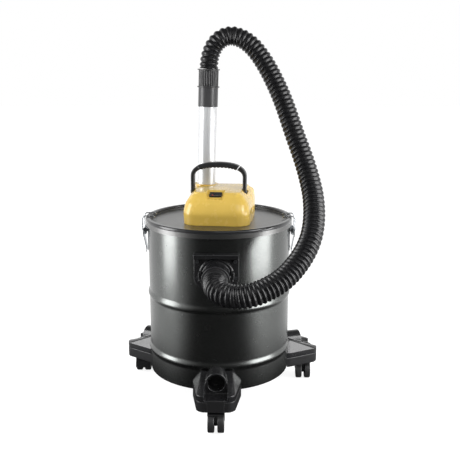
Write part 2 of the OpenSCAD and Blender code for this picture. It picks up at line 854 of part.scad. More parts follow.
module castor_wheels(i) {
    crown = 1.5;
    color(c_grey) at_castor(i) at_axle() for (side = [0, 1]) mirror([0, 0, side])
        translate([0, 0, wheel_in]) rotate_extrude() polygon([
            [axle_r + run_gap, 0], [wheel_r - crown, 0], [wheel_r, crown],
            [wheel_r, wheel_w - crown], [wheel_r - crown, wheel_w], [wheel_r * 0.72, wheel_w],
            [wheel_r * 0.68, wheel_w - 1.5], [axle_r + 3.5, wheel_w - 1.5], [axle_r + 3, wheel_w],
            [axle_r + run_gap, wheel_w]]);
}

// ---- Lid -----------------------------------------------------------------

module pot_screw_places() {
    for (a = [45:90:315]) rotate([0, 0, a]) translate([pot_screw_at, 0, 0]) children();
}

module lid() {
    k = rim_round;
    rim_in = rim_in_r - lid_wall;
    color(c_lid) difference() {
        rotate_extrude() polygon(concat(
            [[lid_hole_r, plate_z - lid_wall], [rim_in_r, plate_z - lid_wall],
                [rim_in_r, rim_top_z - lid_wall], [rim_r - lid_wall, rim_top_z - lid_wall],
                [rim_r - lid_wall, rim_top_z - rim_h], [rim_r, rim_top_z - rim_h]],
            arc(rim_r - k, rim_top_z - k, k, 0, 90, 6),
            arc(rim_in + k, rim_top_z - k, k, 90, 180, 6),
            [[rim_in, plate_z], [lid_hole_r, plate_z]]));
        pot_screw_places() translate([0, 0, plate_z - 5]) cylinder(r = pot_screw_r + slip_gap, h = 10);
    }
}

module lid_gasket() {
    color(c_rubber) translate([0, 0, drum_h]) difference() {
        cylinder(r = rim_r - lid_wall - slip_gap, h = lid_gasket_h);
        translate([0, 0, -1]) cylinder(r = rim_in_r + slip_gap, h = lid_gasket_h + 2);
    }
}

// ---- Motor pot and filter ------------------------------------------------

module motor_pot() {
    color(c_black) difference() {
        rotate_extrude() polygon([
            [18, pot_low_z], [pot_r, pot_low_z], [pot_r, plate_z], [pot_flange_r, plate_z],
            [pot_flange_r, head_base_z], [pot_r - pot_wall, head_base_z], [pot_r - pot_wall, pot_in_z],
            [18, pot_in_z]]);
        pot_screw_places() translate([0, 0, plate_z - 1]) cylinder(r = pot_screw_r + slip_gap, h = 10);
    }
}

module pot_screws() {
    color(c_steel) pot_screw_places() {
        translate([0, 0, plate_z - 6]) cylinder(r = pot_screw_r, h = 6 + pot_wall + eps);
        translate([0, 0, head_base_z]) cylinder(r = pot_screw_r + 1.3, h = 1.6);
        translate([0, 0, plate_z - lid_wall - 2.4]) cylinder(r = pot_screw_r + 1.4, h = 2.4);
    }
}

module filter_cage() {
    color(c_black) difference() {
        rotate_extrude() polygon([
            [cage_r - 2, filter_low_z + 4], [cage_r - 2, pot_low_z], [cage_r + 12, pot_low_z],
            [cage_r + 12, filter_top_z + 0.3], [cage_r, filter_top_z + 0.3], [cage_r, filter_low_z],
            [stud_r, filter_low_z], [stud_r, stud_low_z], [0, stud_low_z], [0, filter_low_z + 4]]);
        for (a = [0:45:135], z = [filter_low_z + 12, filter_low_z + 42])
            rotate([0, 0, a]) translate([-cage_r - 5, -9, z]) cube([2 * cage_r + 10, 18, 22]);
    }
}

module filter_cartridge() {
    inner = cage_r + side_gap;
    color(c_paper) difference() {
        union() {
            translate([0, 0, filter_low_z]) cylinder(r = filter_r + 1, h = filter_cap_t);
            translate([0, 0, filter_top_z - filter_cap_t]) cylinder(r = filter_r + 1, h = filter_cap_t);
            translate([0, 0, filter_low_z + 1]) linear_extrude(height = filter_l - 2) polygon(
                [for (i = [0:2 * filter_pleats - 1]) let (a = 180 * i / filter_pleats,
                    r = i % 2 == 0 ? filter_r : inner + 5) [r * cos(a), r * sin(a)]]);
        }
        translate([0, 0, filter_low_z - 1]) cylinder(r = inner, h = filter_l + 2);
    }
}

module filter_nut() {
    color(c_grey) difference() {
        translate([0, 0, filter_low_z - nut_t]) {
            cylinder(r = cage_r + 7, h = nut_t);
            translate([-cage_r + 6, -nut_wing / 2, -wing_h]) cube([2 * cage_r - 12, nut_wing, wing_h + 1]);
        }
        translate([0, 0, stud_low_z - 1]) cylinder(r = stud_r + slip_gap, h = 40);
    }
}

// ---- Head ----------------------------------------------------------------

module on_head() {
    rotate([0, 0, head_yaw]) children();
}

module head_slice(z, half, front, rear, r) {
    for (x = [-half + r, half - r], y = [front + r, rear - r])
        translate([x, y, z]) cylinder(r = r, h = 0.5, $fn = hull_fn);
}

module head_solid(inset) {
    hull() {
        for (s = head_slices)
            head_slice(head_low_z + s[0] - (s[0] > 50 ? inset : 0), head_half_w + s[1] - inset,
                s[2] + inset,
                s[3] - inset, s[4] - inset / 2);
        head_slice(crown_z - 0.5 - inset, head_half_w - 33, -40, 36, 14);
    }
}

module handle_pockets() {
    for (side = [0, 180]) rotate([0, 0, side])
        translate([pocket_x, -pocket_half, pocket_low_z]) cube([30, 2 * pocket_half, 60]);
}

module pocket_walls() {
    for (side = [0, 180]) rotate([0, 0, side])
        translate([pocket_x - 3, -pocket_half - 3, pocket_low_z - 3]) cube([30, 2 * pocket_half + 6, 60]);
}

module scoop_outline() {
    polygon([[-16, 26], [4, 26], [9, 31], [9, 52], [14, 52], [17, 28], [10, 20], [-14, 20]]);
}

module scoops() {
    difference() {
        for (side = [-1, 1]) translate([side * 60 - 40, 0, head_low_z]) rotate([90, 0, 90])
            linear_extrude(height = 80) scoop_outline();
        head_solid(scoop_depth);
    }
}

module switch_cut(grow) {
    top = switch_w / 2 + grow;
    low_z = crown_z - 14.5 - grow;
    translate([0, panel_y + 10 + grow, 0]) rotate([90, 0, 0]) linear_extrude(height = 30)
        polygon([[-top + 3.5, low_z], [top - 3.5, low_z], [top, crown_z + 5], [-top, crown_z + 5]]);
}

module grille_window(gap) {
    translate([grille_x - grille_w / 2 - gap, head_half_w - 12, grille_z - gap])
        cube([grille_w + 2 * gap, 30, grille_h + 2 * gap]);
}

module at_gland() {
    translate([gland_x, gland_y, gland_z]) rotate([-90, 0, 0]) children();
}

module at_wand() {
    translate([wand_x, wand_y, wand_foot_z]) rotate([0, wand_lean, 0]) children();
}

// Low seat of the park socket's flange on the crown
module wand_boss() {
    at_wand() translate([0, 0, liner_flange_z - boss_t]) cylinder(r = liner_flange_r, h = boss_t);
}

module head_cover() {
    color(c_yellow) difference() {
        on_head() difference() {
            union() {
                difference() {
                    head_solid(0);
                    translate([0, 0, -eps]) head_solid(head_wall);
                }
                intersection() {
                    head_solid(0);
                    union() {
                        pocket_walls();
                        switch_cut(3);
                    }
                }
                rotate([0, 0, -head_yaw]) wand_boss();
            }
            handle_pockets();
            switch_cut(0);
            scoops();
            grille_window(slip_gap);
            at_gland() cylinder(r = gland_r + slip_gap, h = 40);
            across_head(handle_pin_r, 14);
        }
        at_wand() translate([0, 0, liner_low - 5]) cylinder(r = liner_r + slip_gap, h = 80);
    }
}

module across_head(r, reach) {
    for (side = [0, 180]) rotate([0, 0, side]) translate([pocket_x - reach / 2, 0, pivot_z])
        rotate([0, 90, 0]) cylinder(r = r, h = reach);
}

module head_base() {
    half = head_base_half;
    color(c_black) on_head() difference() {
        translate([-half, -half, head_base_z]) cube([2 * half, 2 * half, 2.5]);
        for (a = [45:90:315]) rotate([0, 0, a]) translate([half * 1.25, -cut_l / 2, head_base_z - 1])
            cube([cut_l / 2, cut_l, 5]);
        translate([0, 0, head_base_z - 1]) cylinder(r = 50, h = 5);
        rotate([0, 0, -head_yaw]) pot_screw_places() translate([0, 0, head_base_z - 1])
            cylinder(r = 4, h = 5);
    }
}

// ---- Switch --------------------------------------------------------------

module at_panel() {
    translate([0, panel_y, panel_z]) rotate([panel_tilt, 0, 0]) children();
}

module switch_bezel() {
    color(c_grey) on_head() difference() {
        intersection() {
            switch_cut(-slip_gap);
            head_solid(1);
            at_panel() translate([-30, -30, -40]) cube([60, 60, 40]);
        }
        at_panel() {
            translate([-rocker_w / 2 - side_gap, -rocker_l / 2 - 1.2, -pocket_depth])
                cube([rocker_w + 2 * side_gap, rocker_l + 2.4, pocket_depth + 5]);
            translate([-rocker_w / 2 - 2, 0, rocker_pivot]) rotate([0, 90, 0])
                cylinder(r = 1.5 + run_gap, h = rocker_w + 4);
        }
    }
}

module rocker_switch() {
    half = rocker_l / 2;
    color(c_black) on_head() at_panel() translate([0, 0, rocker_pivot]) rotate([rocker_rest, 0, 0]) {
        translate([-rocker_w / 2, 0, 0]) rotate([90, 0, 90]) linear_extrude(height = rocker_w)
            polygon([[-half, 3.6], [-half + 0.6, -1.8], [half - 0.6, -1.8], [half, 3.6], [half * 0.5,
                3], [0, 2.7],
                [-half * 0.5, 3]]);
        translate([-rocker_w / 2 - 1.8, 0, 0]) rotate([0, 90, 0]) cylinder(r = 1.5, h = rocker_w + 3.6);
    }
}

// ---- Rear of the head ----------------------------------------------------

module exhaust_grille() {
    slots = 7;
    color(c_grey) on_head() difference() {
        intersection() {
            difference() {
                head_solid(0.2);
                head_solid(head_wall);
            }
            grille_window(0);
        }
        for (i = [0:slots - 1]) translate([grille_x - grille_w / 2 + 5, 0, grille_z + 2.4 + 2.9 * i])
            cube([grille_w - 10, cut_l, 1.6]);
    }
}

module cable_gland() {
    color(c_black) on_head() at_gland() difference() {
        union() {
            cylinder(r = gland_r, h = 20);
            translate([0, 0, gland_seat]) cylinder(r1 = gland_r + 2, r2 = gland_r, h = 3);
        }
        translate([0, 0, -1]) cylinder(r = 3.6, h = 30);
    }
}

// ---- Carry handle --------------------------------------------------------

function shoulder(a, b, x) = b * (1 - abs(x / a) ^ 2.4) ^ (1 / 2.4);
function handle_edge(a, b) =
    [for (i = [-90:6:90]) let (x = a * sin(i)) [x, shoulder_z + shoulder(a, b, x)]];

module handle_band() {
    outer = handle_half_w;
    inner = handle_half_w - handle_t;
    low = pivot_z - foot_len + 6;
    rotate([90, 0, 0]) translate([0, 0, -handle_d / 2]) linear_extrude(height = handle_d) polygon(concat(
        [[-outer, low]], handle_edge(outer, shoulder_h), [[outer, low], [inner, low]],
        reversed(handle_edge(inner, shoulder_h - grip_t)), [[-inner, low]]));
}

module grip_zone(half) {
    translate([-half, -40, shoulder_z - 10]) cube([2 * half, 80, 80]);
}

module carry_handle() {
    inner = handle_half_w - handle_t;
    color(c_black) on_head() difference() {
        union() {
            difference() {
                handle_band();
                grip_zone(grip_half);
            }
            for (side = [-1, 1]) translate([side * (inner + handle_t / 2) - handle_t / 2, 0, pivot_z])
                rotate([0, 90, 0]) cylinder(r = foot_len, h = handle_t);
        }
        across_head(handle_pin_r + run_gap, 60);
    }
}

module handle_grip() {
    ribs = 11;
    color(c_grey) on_head() difference() {
        intersection() {
            handle_band();
            grip_zone(grip_half - 0.15);
        }
        for (i = [0:ribs - 1]) let (x = -grip_half + 12 + (2 * grip_half - 24) * i / (ribs - 1))
            translate([x, 0, shoulder_z + shoulder(handle_half_w - handle_t, shoulder_h - grip_t, x) - 3.6])
                rotate([90, 0, 0]) cylinder(r = 4.4, h = 40, center = true);
    }
}

module handle_pins() {
    reach = 2 * handle_t + 3;
    color(c_steel) on_head() across_head(handle_pin_r, reach);
}

// ---- Wand ----------------------------------------------------------------

module tube(r, wall, z0, z1) {
    translate([0, 0, z0]) difference() {
        cylinder(r = r, h = z1 - z0);
        translate([0, 0, -1]) cylinder(r = r - wall, h = z1 - z0 + 2);
    }
}

module socket_liner() {
    color(c_black) at_wand() difference() {
        union() {
            translate([0, 0, liner_low]) cylinder(r = liner_r,
                h = liner_flange_z + liner_flange_t - liner_low);
            translate([0, 0, liner_flange_z]) cylinder(r = liner_flange_r, h = liner_flange_t);
        }
        translate([0, 0, liner_low + 2]) cylinder(r = liner_r - liner_wall, h = 80);
    }
}

module wand_tube() {
    color("#dcdfe2") at_wand() tube(wand_r, wand_wall, liner_low + 2, wand_top);
}

module hose_collar() {
    color(c_black) at_wand() tube(collar_r, collar_r - wand_r - slip_gap, collar_low, grip_low);
}

module collar_grip() {
    ring_t = 2.4;
    color(c_black) at_wand() difference() {
        union() {
            translate([0, 0, grip_low]) cylinder(r = collar_r, h = grip_l);
            for (z = [grip_low, wand_len - ring_t]) translate([0, 0, z])
                cylinder(r = grip_ring_r, h = ring_t);
        }
        translate([0, 0, grip_low - 1]) cylinder(r = wand_r + slip_gap, h = wand_top - grip_low + 1);
        translate([0, 0, grip_low]) cylinder(r = wand_r - 3, h = grip_l + 1);
    }
}

// ---- Motor ---------------------------------------------------------------

module motor_stator() {
    color(c_copper) translate([0, 0, stator_z]) difference() {
        cylinder(r = stator_r, h = stator_l);
        translate([0, 0, -1]) cylinder(r = armature_r + 1, h = stator_l + 2);
        for (side = [-1, 1]) translate([side * armature_r - 4, -14, -1]) cube([8, 28, stator_l + 2]);
    }
}

module end_bracket() {
    difference() {
        rotate_extrude() polygon([
            [bearing_r, 0], [bracket_r, 0], [bracket_r, bracket_t], [bearing_r + 3, bracket_t],
            [bearing_r + 3, bearing_boss_h], [bearing_r, bearing_boss_h]]);
        for (a = [45:90:315]) rotate([0, 0, a]) translate([bearing_r + 13, 0, -1])
            cylinder(r = 7, h = bracket_t + 2);
    }
}

module motor_frame() {
    color(c_steel) {
        translate([0, 0, frame_z]) end_bracket();
        translate([0, 0, frame_top_z]) mirror([0, 0, 1]) end_bracket();
        for (a = [0:90:270]) rotate([0, 0, a]) {
            translate([post_at, 0, frame_z + 1]) cylinder(r = post_r, h = frame_h - 2);
            translate([stator_r - 8, -2.5, frame_z + 2]) cube([8 + post_r, 5, stator_z - frame_z - 2]);
        }
    }
}

module bearings() {
    color("#8d9094") for (z = [frame_z + 0.5, frame_top_z - bearing_h - 0.5])
        tube(bearing_r, bearing_r - shaft_r - run_gap, z, z + bearing_h);
}

module brush_holders() {
    color(c_copper) for (side = [0, 180]) rotate([0, 0, side])
        translate([commutator_r + 0.8, -4, commutator_z])
            cube([20, 8, frame_top_z - bracket_t - commutator_z]);
}

module armature() {
    color(c_steel) translate([0, 0, shaft_low_z]) cylinder(r = shaft_r, h = shaft_top_z - shaft_low_z);
    color(c_copper) translate([0, 0, armature_z]) cylinder(r = armature_r, h = stator_l - 4);
    color(c_copper) translate([0, 0, commutator_z - 4]) cylinder(r = commutator_r, h = 9);
}

module impeller() {
    blades = 9;
    color("#c9ccd0") translate([0, 0, impeller_z]) difference() {
        union() {
            translate([0, 0, impeller_h - 1.5]) cylinder(r = impeller_r, h = 1.5);
            cylinder(r = shaft_r + 6, h = impeller_h);
            difference() {
                cylinder(r = impeller_r, h = 1.5);
                translate([0, 0, -1]) cylinder(r = 20, h = 4);
            }
            for (i = [0:blades - 1]) rotate([0, 0, 360 * i / blades]) translate([14, 0, 0])
                rotate([0, 0, 28])
                translate([0, -0.8, 0.5]) cube([impeller_r - 17, 1.6, impeller_h - 1]);
        }
        translate([0, 0, -1]) cylinder(r = shaft_r, h = impeller_h + 2);
    }
}

module fan_housing() {
    color(c_grey) difference() {
        translate([0, 0, pot_in_z]) cylinder(r = fan_r, h = fan_h);
        translate([0, 0, pot_in_z + fan_wall]) cylinder(r = fan_r - fan_wall, h = fan_h - 2 * fan_wall);
        translate([0, 0, pot_in_z - 1]) cylinder(r = 16, h = fan_wall + 2);
        translate([0, 0, frame_z - fan_wall - 1]) cylinder(r = bearing_r, h = fan_wall + 2);
        for (a = [0:60:300]) rotate([0, 0, a]) translate([fan_r - fan_vent_h, -fan_vent_w / 2,
            frame_z - fan_vent_drop])
            cube([2 * fan_vent_h, fan_vent_w, fan_vent_h]);
    }
}

// ---- Part ----------------------------------------------------------------

drum_shell();
drum_base();
inlet_flange();
inlet_gasket();
inlet_screws();
inlet_deflector();
clip_plate(180);  // clip_plate_left
clip_plate(0);  // clip_plate_right
clip_rivets();
clip_pin(180);  // clip_pin_left
clip_pin(0);  // clip_pin_right
clip_lever(180);  // clip_lever_left
clip_lever(0);  // clip_lever_right
clip_bail(180);  // clip_bail_left
clip_bail(0);  // clip_bail_right
foot_cover(0);  // foot_front_cover
foot_cover(1);  // foot_left_cover
foot_cover(2);  // foot_right_cover
foot_tray(0);  // foot_front_tray
foot_tray(1);  // foot_left_tray
foot_tray(2);  // foot_right_tray
foot_screws();
castor_hood(0);  // castor_front_hood
castor_hood(1);  // castor_left_hood
castor_hood(2);  // castor_right_hood
castor_axle(0);  // castor_front_axle
castor_axle(1);  // castor_left_axle
castor_axle(2);  // castor_right_axle
castor_wheels(0);  // castor_front_wheels
castor_wheels(1);  // castor_left_wheels
castor_wheels(2);  // castor_right_wheels
hose_cuff();
suction_hose();
lid();
lid_gasket();
motor_pot();
pot_screws();
filter_cage();
filter_cartridge();
filter_nut();
head_cover();
head_base();
switch_bezel();
rocker_switch();
exhaust_grille();
cable_gland();
carry_handle();
handle_grip();
handle_pins();
socket_liner();
wand_tube();
hose_collar();
collar_grip();
motor_stator();
motor_frame();
armature();
impeller();
fan_housing();
bearings();
brush_holders();
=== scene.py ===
import bpy
import bmesh
import json
from math import atan2, ceil, cos, hypot, pi, radians, sin, tau
from mathutils import Matrix, Vector

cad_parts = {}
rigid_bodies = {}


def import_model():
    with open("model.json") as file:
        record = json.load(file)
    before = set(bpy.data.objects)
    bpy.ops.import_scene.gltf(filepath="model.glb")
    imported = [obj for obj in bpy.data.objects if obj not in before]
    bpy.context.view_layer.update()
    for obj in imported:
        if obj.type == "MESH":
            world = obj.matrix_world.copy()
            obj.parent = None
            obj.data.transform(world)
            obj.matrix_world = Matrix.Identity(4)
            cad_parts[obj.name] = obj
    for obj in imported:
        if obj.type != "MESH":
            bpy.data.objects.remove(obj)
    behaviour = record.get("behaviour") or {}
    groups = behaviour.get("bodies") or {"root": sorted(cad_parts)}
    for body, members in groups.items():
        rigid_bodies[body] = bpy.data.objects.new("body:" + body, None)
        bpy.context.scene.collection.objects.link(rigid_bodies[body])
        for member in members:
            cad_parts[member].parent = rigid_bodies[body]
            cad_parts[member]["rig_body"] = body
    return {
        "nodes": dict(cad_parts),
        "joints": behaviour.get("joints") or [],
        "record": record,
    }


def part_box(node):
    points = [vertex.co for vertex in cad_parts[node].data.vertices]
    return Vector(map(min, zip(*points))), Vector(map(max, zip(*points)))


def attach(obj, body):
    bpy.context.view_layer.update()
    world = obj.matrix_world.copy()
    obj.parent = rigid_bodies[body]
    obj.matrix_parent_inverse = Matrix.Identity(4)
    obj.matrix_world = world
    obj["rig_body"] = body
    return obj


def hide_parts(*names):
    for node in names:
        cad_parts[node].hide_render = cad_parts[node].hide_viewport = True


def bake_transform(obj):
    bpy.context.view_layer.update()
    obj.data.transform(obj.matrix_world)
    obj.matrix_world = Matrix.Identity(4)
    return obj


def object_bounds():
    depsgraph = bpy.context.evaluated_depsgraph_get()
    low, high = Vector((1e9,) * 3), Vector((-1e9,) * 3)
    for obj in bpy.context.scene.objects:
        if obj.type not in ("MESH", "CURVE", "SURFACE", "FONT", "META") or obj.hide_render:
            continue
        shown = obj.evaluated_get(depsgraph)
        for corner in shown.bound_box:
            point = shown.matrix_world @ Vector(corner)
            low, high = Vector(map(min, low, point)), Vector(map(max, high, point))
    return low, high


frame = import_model()
cad_low, cad_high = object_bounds()
MM = 0.001
FEET = ("front", "left", "right")
SIDES = {"left": -1, "right": 1}


# ---- Places, from the frame ------------------------------------------------

def box(node):
    """Lowest and highest corner of a CAD node, in millimetres."""
    low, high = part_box(node)
    return low / MM, high / MM


def joint(name):
    return next(j for j in frame["joints"] if j["name"] == name)


def joint_place(name):
    return Vector(joint(name)["pos_m"]) / MM


RIM_TOP = box("lid")[1].z
RIM_R = box("lid")[1].x
HANDLE_AXIS = joint("handle_swing")["axis"]
YAW = atan2(HANDLE_AXIS[1], HANDLE_AXIS[0])
HEAD = Matrix.Rotation(YAW, 4, "Z")


# ---- Camera ----------------------------------------------------------------

CAMERA_PLACE = (0.0523, -1.4959, 0.6364)
CAMERA_TILT = 77.33
CAMERA_YAW = 1.1
CAMERA_LENS = 56.13


def make_camera():
    """The photograph's viewpoint, in metres, degrees and millimetres of lens."""
    data = bpy.data.cameras.new("camera")
    data.sensor_width = 36
    data.lens = CAMERA_LENS
    camera = bpy.data.objects.new("camera", data)
    camera.location = CAMERA_PLACE
    camera.rotation_euler = (radians(CAMERA_TILT), 0, radians(CAMERA_YAW))
    bpy.context.scene.collection.objects.link(camera)
    bpy.context.scene.camera = camera


# ---- Mesh helpers ----------------------------------------------------------

# Faces that meet at more than this many degrees keep a sharp edge
SHARP_ANGLE = 40


def add_object(name, mesh, finish=None):
    obj = bpy.data.objects.new(name, mesh)
    bpy.context.scene.collection.objects.link(obj)
    if finish:
        mesh.materials.append(finish)
    return obj


def mesh_of(name, points, faces, finish, place, sharp):
    """A smooth-shaded mesh from points in millimetres."""
    mesh = bpy.data.meshes.new(name)
    place = place or Matrix.Identity(4)
    mesh.from_pydata([(place @ Vector(p)) * MM for p in points], [], faces)
    bm = bmesh.new()
    bm.from_mesh(mesh)
    bmesh.ops.recalc_face_normals(bm, faces=bm.faces)
    bm.to_mesh(mesh)
    bm.free()
    mesh.shade_smooth()
    mesh.set_sharp_from_angle(angle=radians(sharp))
    return add_object(name, mesh, finish)


def loft(name, rings, finish=None, place=None, closed=False, sharp=SHARP_ANGLE):
    """A skin over rings of as many points each. Its ends are capped, or joined if it is closed."""
    count = len(rings[0])
    points = [p for ring in rings for p in ring]
    spans = len(rings) if closed else len(rings) - 1
    faces = []
    for i in range(spans):
        a, b = i * count, (i + 1) % len(rings) * count
        for k in range(count):
            m = (k + 1) % count
            faces.append((a + k, b + k, b + m, a + m))
    if not closed:
        faces.append(tuple(range(count)))
        faces.append(tuple(range(len(points) - 1, len(points) - count - 1, -1)))
    return mesh_of(name, points, faces, finish, place, sharp)


def revolve(name, profile, finish, place=None, steps=96):
    """A ring of revolution about Z from a closed profile of (radius, height)."""
    rings = []
    for i in range(steps):
        a = tau * i / steps
        rings.append([(r * cos(a), r * sin(a), z) for r, z in profile])
    return loft(name, rings, finish, place, closed=True)


def rounded_rect(half_x, half_y, r, steps=6):
    """Outline of a rectangle with round corners, centred on the origin."""
    out = []
    for cx, cy, start in ((1, 1, 0), (-1, 1, 90), (-1, -1, 180), (1, -1, 270)):
        for i in range(steps + 1):
            a = radians(start + 90 * i / steps)
            out.append((cx * (half_x - r) + r * cos(a), cy * (half_y - r) + r * sin(a)))
    return out


def apply_modifiers(obj):
    bpy.context.view_layer.update()
    seen = obj.evaluated_get(bpy.context.evaluated_depsgraph_get())
    mesh = bpy.data.meshes.new_from_object(seen)
    obj.modifiers.clear()
    obj.data = mesh


def cut(obj, *tools):
    """Takes the tools away from obj."""
    for tool in tools:
        step = obj.modifiers.new("cut", "BOOLEAN")
        step.operation = "DIFFERENCE"
        step.solver = "EXACT"
        step.object = tool
    apply_modifiers(obj)
    for tool in tools:
        bpy.data.objects.remove(tool)


def moulded(obj, voxel, passes):
    """Rounds every edge of obj, as a moulding has it. Sizes in millimetres."""
    remesh = obj.modifiers.new("remesh", "REMESH")
    remesh.mode = "VOXEL"
    remesh.voxel_size = voxel * MM
    soft = obj.modifiers.new("soft", "SMOOTH")
    soft.factor = 0.5
    soft.iterations = passes
    apply_modifiers(obj)
    obj.data.shade_smooth()


def moulded_copy(node, slot, voxel, passes):
    """A CAD node's shape with moulded edges, in its place."""
    mesh = frame["nodes"][node].data.copy()
    mesh.materials.clear()
    piece = add_object(node + "_moulded", mesh, FINISH[slot])
    moulded(piece, voxel, passes)
    seat(piece, frame["nodes"][node]["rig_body"], slot, node)


def seat(piece, body, slot, *nodes):
    """The piece rides on the body and stands for the nodes. Its slot argument is not used."""
    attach(piece, body)
    if nodes:
        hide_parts(*nodes)


# ---- Material helpers ------------------------------------------------------

# Range of pointiness in which an edge turns from fresh to rubbed
WORN_EDGE = (0.51, 0.56)


class Finish:
    """A node material under construction."""

    def __init__(self, name):
        self.material = bpy.data.materials.new(name)
        self.material.use_nodes = True
        self.nodes = self.material.node_tree.nodes
        self.links = self.material.node_tree.links
        self.shader = self.nodes["Principled BSDF"]
        self.place = self.nodes.new("ShaderNodeTexCoord").outputs["Object"]

    def stretched(self, scale):
        mapping = self.nodes.new("ShaderNodeMapping")
        mapping.inputs["Scale"].default_value = scale
        self.links.new(self.place, mapping.inputs["Vector"])
        return mapping.outputs["Vector"]

    def noise(self, size, detail=3.0, stretch=None):
        """Noise with spots of about that size in millimetres."""
        node = self.nodes.new("ShaderNodeTexNoise")
        node.inputs["Scale"].default_value = 1 / (size * MM)
        node.inputs["Detail"].default_value = detail
        place = self.stretched(stretch) if stretch else self.place
        self.links.new(place, node.inputs["Vector"])
        return node.outputs["Fac"]

    def flakes(self, size):
        node = self.nodes.new("ShaderNodeTexVoronoi")
        node.inputs["Scale"].default_value = 1 / (size * MM)
        self.links.new(self.place, node.inputs["Vector"])
        return node.outputs["Color"]

    def ramp(self, source, *stops):
        """A colour ramp through (place, colour or grey) stops."""
        node = self.nodes.new("ShaderNodeValToRGB")
        while len(node.color_ramp.elements) < len(stops):
            node.color_ramp.elements.new(0.5)
        for element, (at, value) in zip(node.color_ramp.elements, stops):
            element.position = at
            element.color = (*value, 1) if hasattr(value, "__len__") else (value, value, value, 1)
        self.links.new(source, node.inputs["Fac"])
        return node.outputs["Color"]

    def spread(self, source, low, high, start=0.3, end=0.7):
        """Maps noise from its middle range to low..high."""
        node = self.nodes.new("ShaderNodeMapRange")
        node.inputs["From Min"].default_value = start
        node.inputs["From Max"].default_value = end
        node.inputs["To Min"].default_value = low
        node.inputs["To Max"].default_value = high
        self.links.new(source, node.inputs["Value"])
        return node.outputs["Result"]

    def mix(self, share, one, other):
        """Colour one where share is 0 and the other where it is 1."""
        node = self.nodes.new("ShaderNodeMix")
        node.data_type = "RGBA"
        self.join(share, node.inputs["Factor"])
        self.join(one, node.inputs["A"])
        self.join(other, node.inputs["B"])
        return next(o for o in node.outputs if o.type == "RGBA")

    def join(self, value, socket):
        if isinstance(value, bpy.types.NodeSocket):
            self.links.new(value, socket)
        elif hasattr(value, "__len__"):
            socket.default_value = (*value, 1)
        else:
            socket.default_value = value

    def set(self, **values):
        """Sets or links the shader's sockets. Underscores stand for spaces."""
        for name, value in values.items():
            self.join(value, self.shader.inputs[name.replace("_", " ")])

    def bump(self, source, height, under=None):
        """Adds relief of that height in millimetres."""
        node = self.nodes.new("ShaderNodeBump")
        node.inputs["Distance"].default_value = height * MM
        self.links.new(source, node.inputs["Height"])
        if under:
            self.links.new(under, node.inputs["Normal"])
        self.links.new(node.outputs["Normal"], self.shader.inputs["Normal"])
        return node.outputs["Normal"]

    def worn(self, colour, edge):
        """Lighter colour along the edges, from the shape's own pointiness."""
        geometry = self.nodes.new("ShaderNodeNewGeometry")
        share = self.spread(geometry.outputs["Pointiness"], 0, 1, *WORN_EDGE)
        return self.mix(share, colour, edge)


def mixed_tone(finish, colour, contrast, size):
    """The colour with soft lighter and darker clouds."""
    dark = tuple(c * (1 - contrast) for c in colour)
    light = tuple(min(1, c * (1 + contrast)) for c in colour)
    return finish.ramp(finish.noise(size, 4), (0.3, dark), (0.7, light))


def paint(name, colour, flake, roughness, metallic):
    """Satin metallic paint: fine flakes, a slight orange peel and a soft coat."""
    f = Finish(name)
    base = mixed_tone(f, colour, 0.06, 60)
    sparkle = f.ramp(f.flakes(0.35), (0.55, 0), (1.0, 1))
    f.set(Base_Color=f.mix(f.spread(sparkle, 0, 0.35, 0, 1), base, flake),
          Roughness=f.spread(f.noise(18, 4), roughness - 0.015, roughness + 0.015))
    f.set(Metallic=metallic, Coat_Weight=0.15, Coat_Roughness=0.2)
    f.bump(f.noise(1.6, 2), 0.012)
    return f.material


def moulding(name, colour, roughness, grain, height, edge=None, coat=0.0):
    """Moulded plastic: a fine grain, uneven gloss and slightly rubbed edges."""
    f = Finish(name)
    base = mixed_tone(f, colour, 0.08, 25)
    if edge:
        base = f.worn(base, edge)
    f.set(Base_Color=base, Roughness=f.spread(f.noise(9, 5), roughness - 0.05, roughness + 0.06))
    if coat:
        f.set(Coat_Weight=coat, Coat_Roughness=0.06)
    f.bump(f.noise(grain, 3), height)
    return f.material


def yellow_finish():
    """Glossy yellow plastic with a faint flow pattern, a wavy skin and fine dust."""
    f = Finish("yellow_plastic")
    base = mixed_tone(f, (0.78, 0.53, 0.105), 0.035, 40)
    dust = f.spread(f.noise(0.6, 5), 0, 0.06, 0.62, 0.8)
    f.set(Base_Color=f.mix(dust, base, (0.9, 0.85, 0.7)),
          Roughness=f.spread(f.noise(14, 4), 0.2, 0.3))
    f.set(Coat_Weight=0.3, Coat_Roughness=0.08)
    wave = f.bump(f.noise(6, 2), 0.02)
    f.bump(f.noise(0.5, 3), 0.003, under=wave)
    return f.material


def chrome_finish():
    """Satin chrome tube: bright, with faint lines drawn along it."""
    f = Finish("chrome")
    lines = f.noise(2, 3, stretch=(1, 1, 0.02))
    f.set(Base_Color=f.ramp(lines, (0.3, (0.70, 0.71, 0.72)), (0.7, (0.78, 0.79, 0.80))),
          Roughness=f.spread(lines, 0.30, 0.38), Metallic=0.4)
    f.bump(lines, 0.004)
    return f.material


def zinc_finish():
    """Bright zinc plate: mottled, with small rubbed spots."""
    f = Finish("zinc_steel")
    spots = f.noise(3, 5)
    f.set(Base_Color=f.ramp(spots, (0.3, (0.46, 0.49, 0.52)), (0.7, (0.74, 0.76, 0.78))),
          Roughness=f.spread(f.noise(1.2, 4), 0.18, 0.38), Metallic=1.0)
    f.bump(f.noise(0.8, 3), 0.006)
    return f.material


def metal(name, dark, light, roughness):
    """Plain machined metal with turning marks."""
    f = Finish(name)
    marks = f.noise(0.7, 3, stretch=(0.1, 0.1, 1))
    f.set(Base_Color=f.ramp(marks, (0.3, dark), (0.7, light)),
          Roughness=f.spread(f.noise(4, 4), roughness - 0.06, roughness + 0.08), Metallic=1.0)
    f.bump(marks, 0.004)
    return f.material


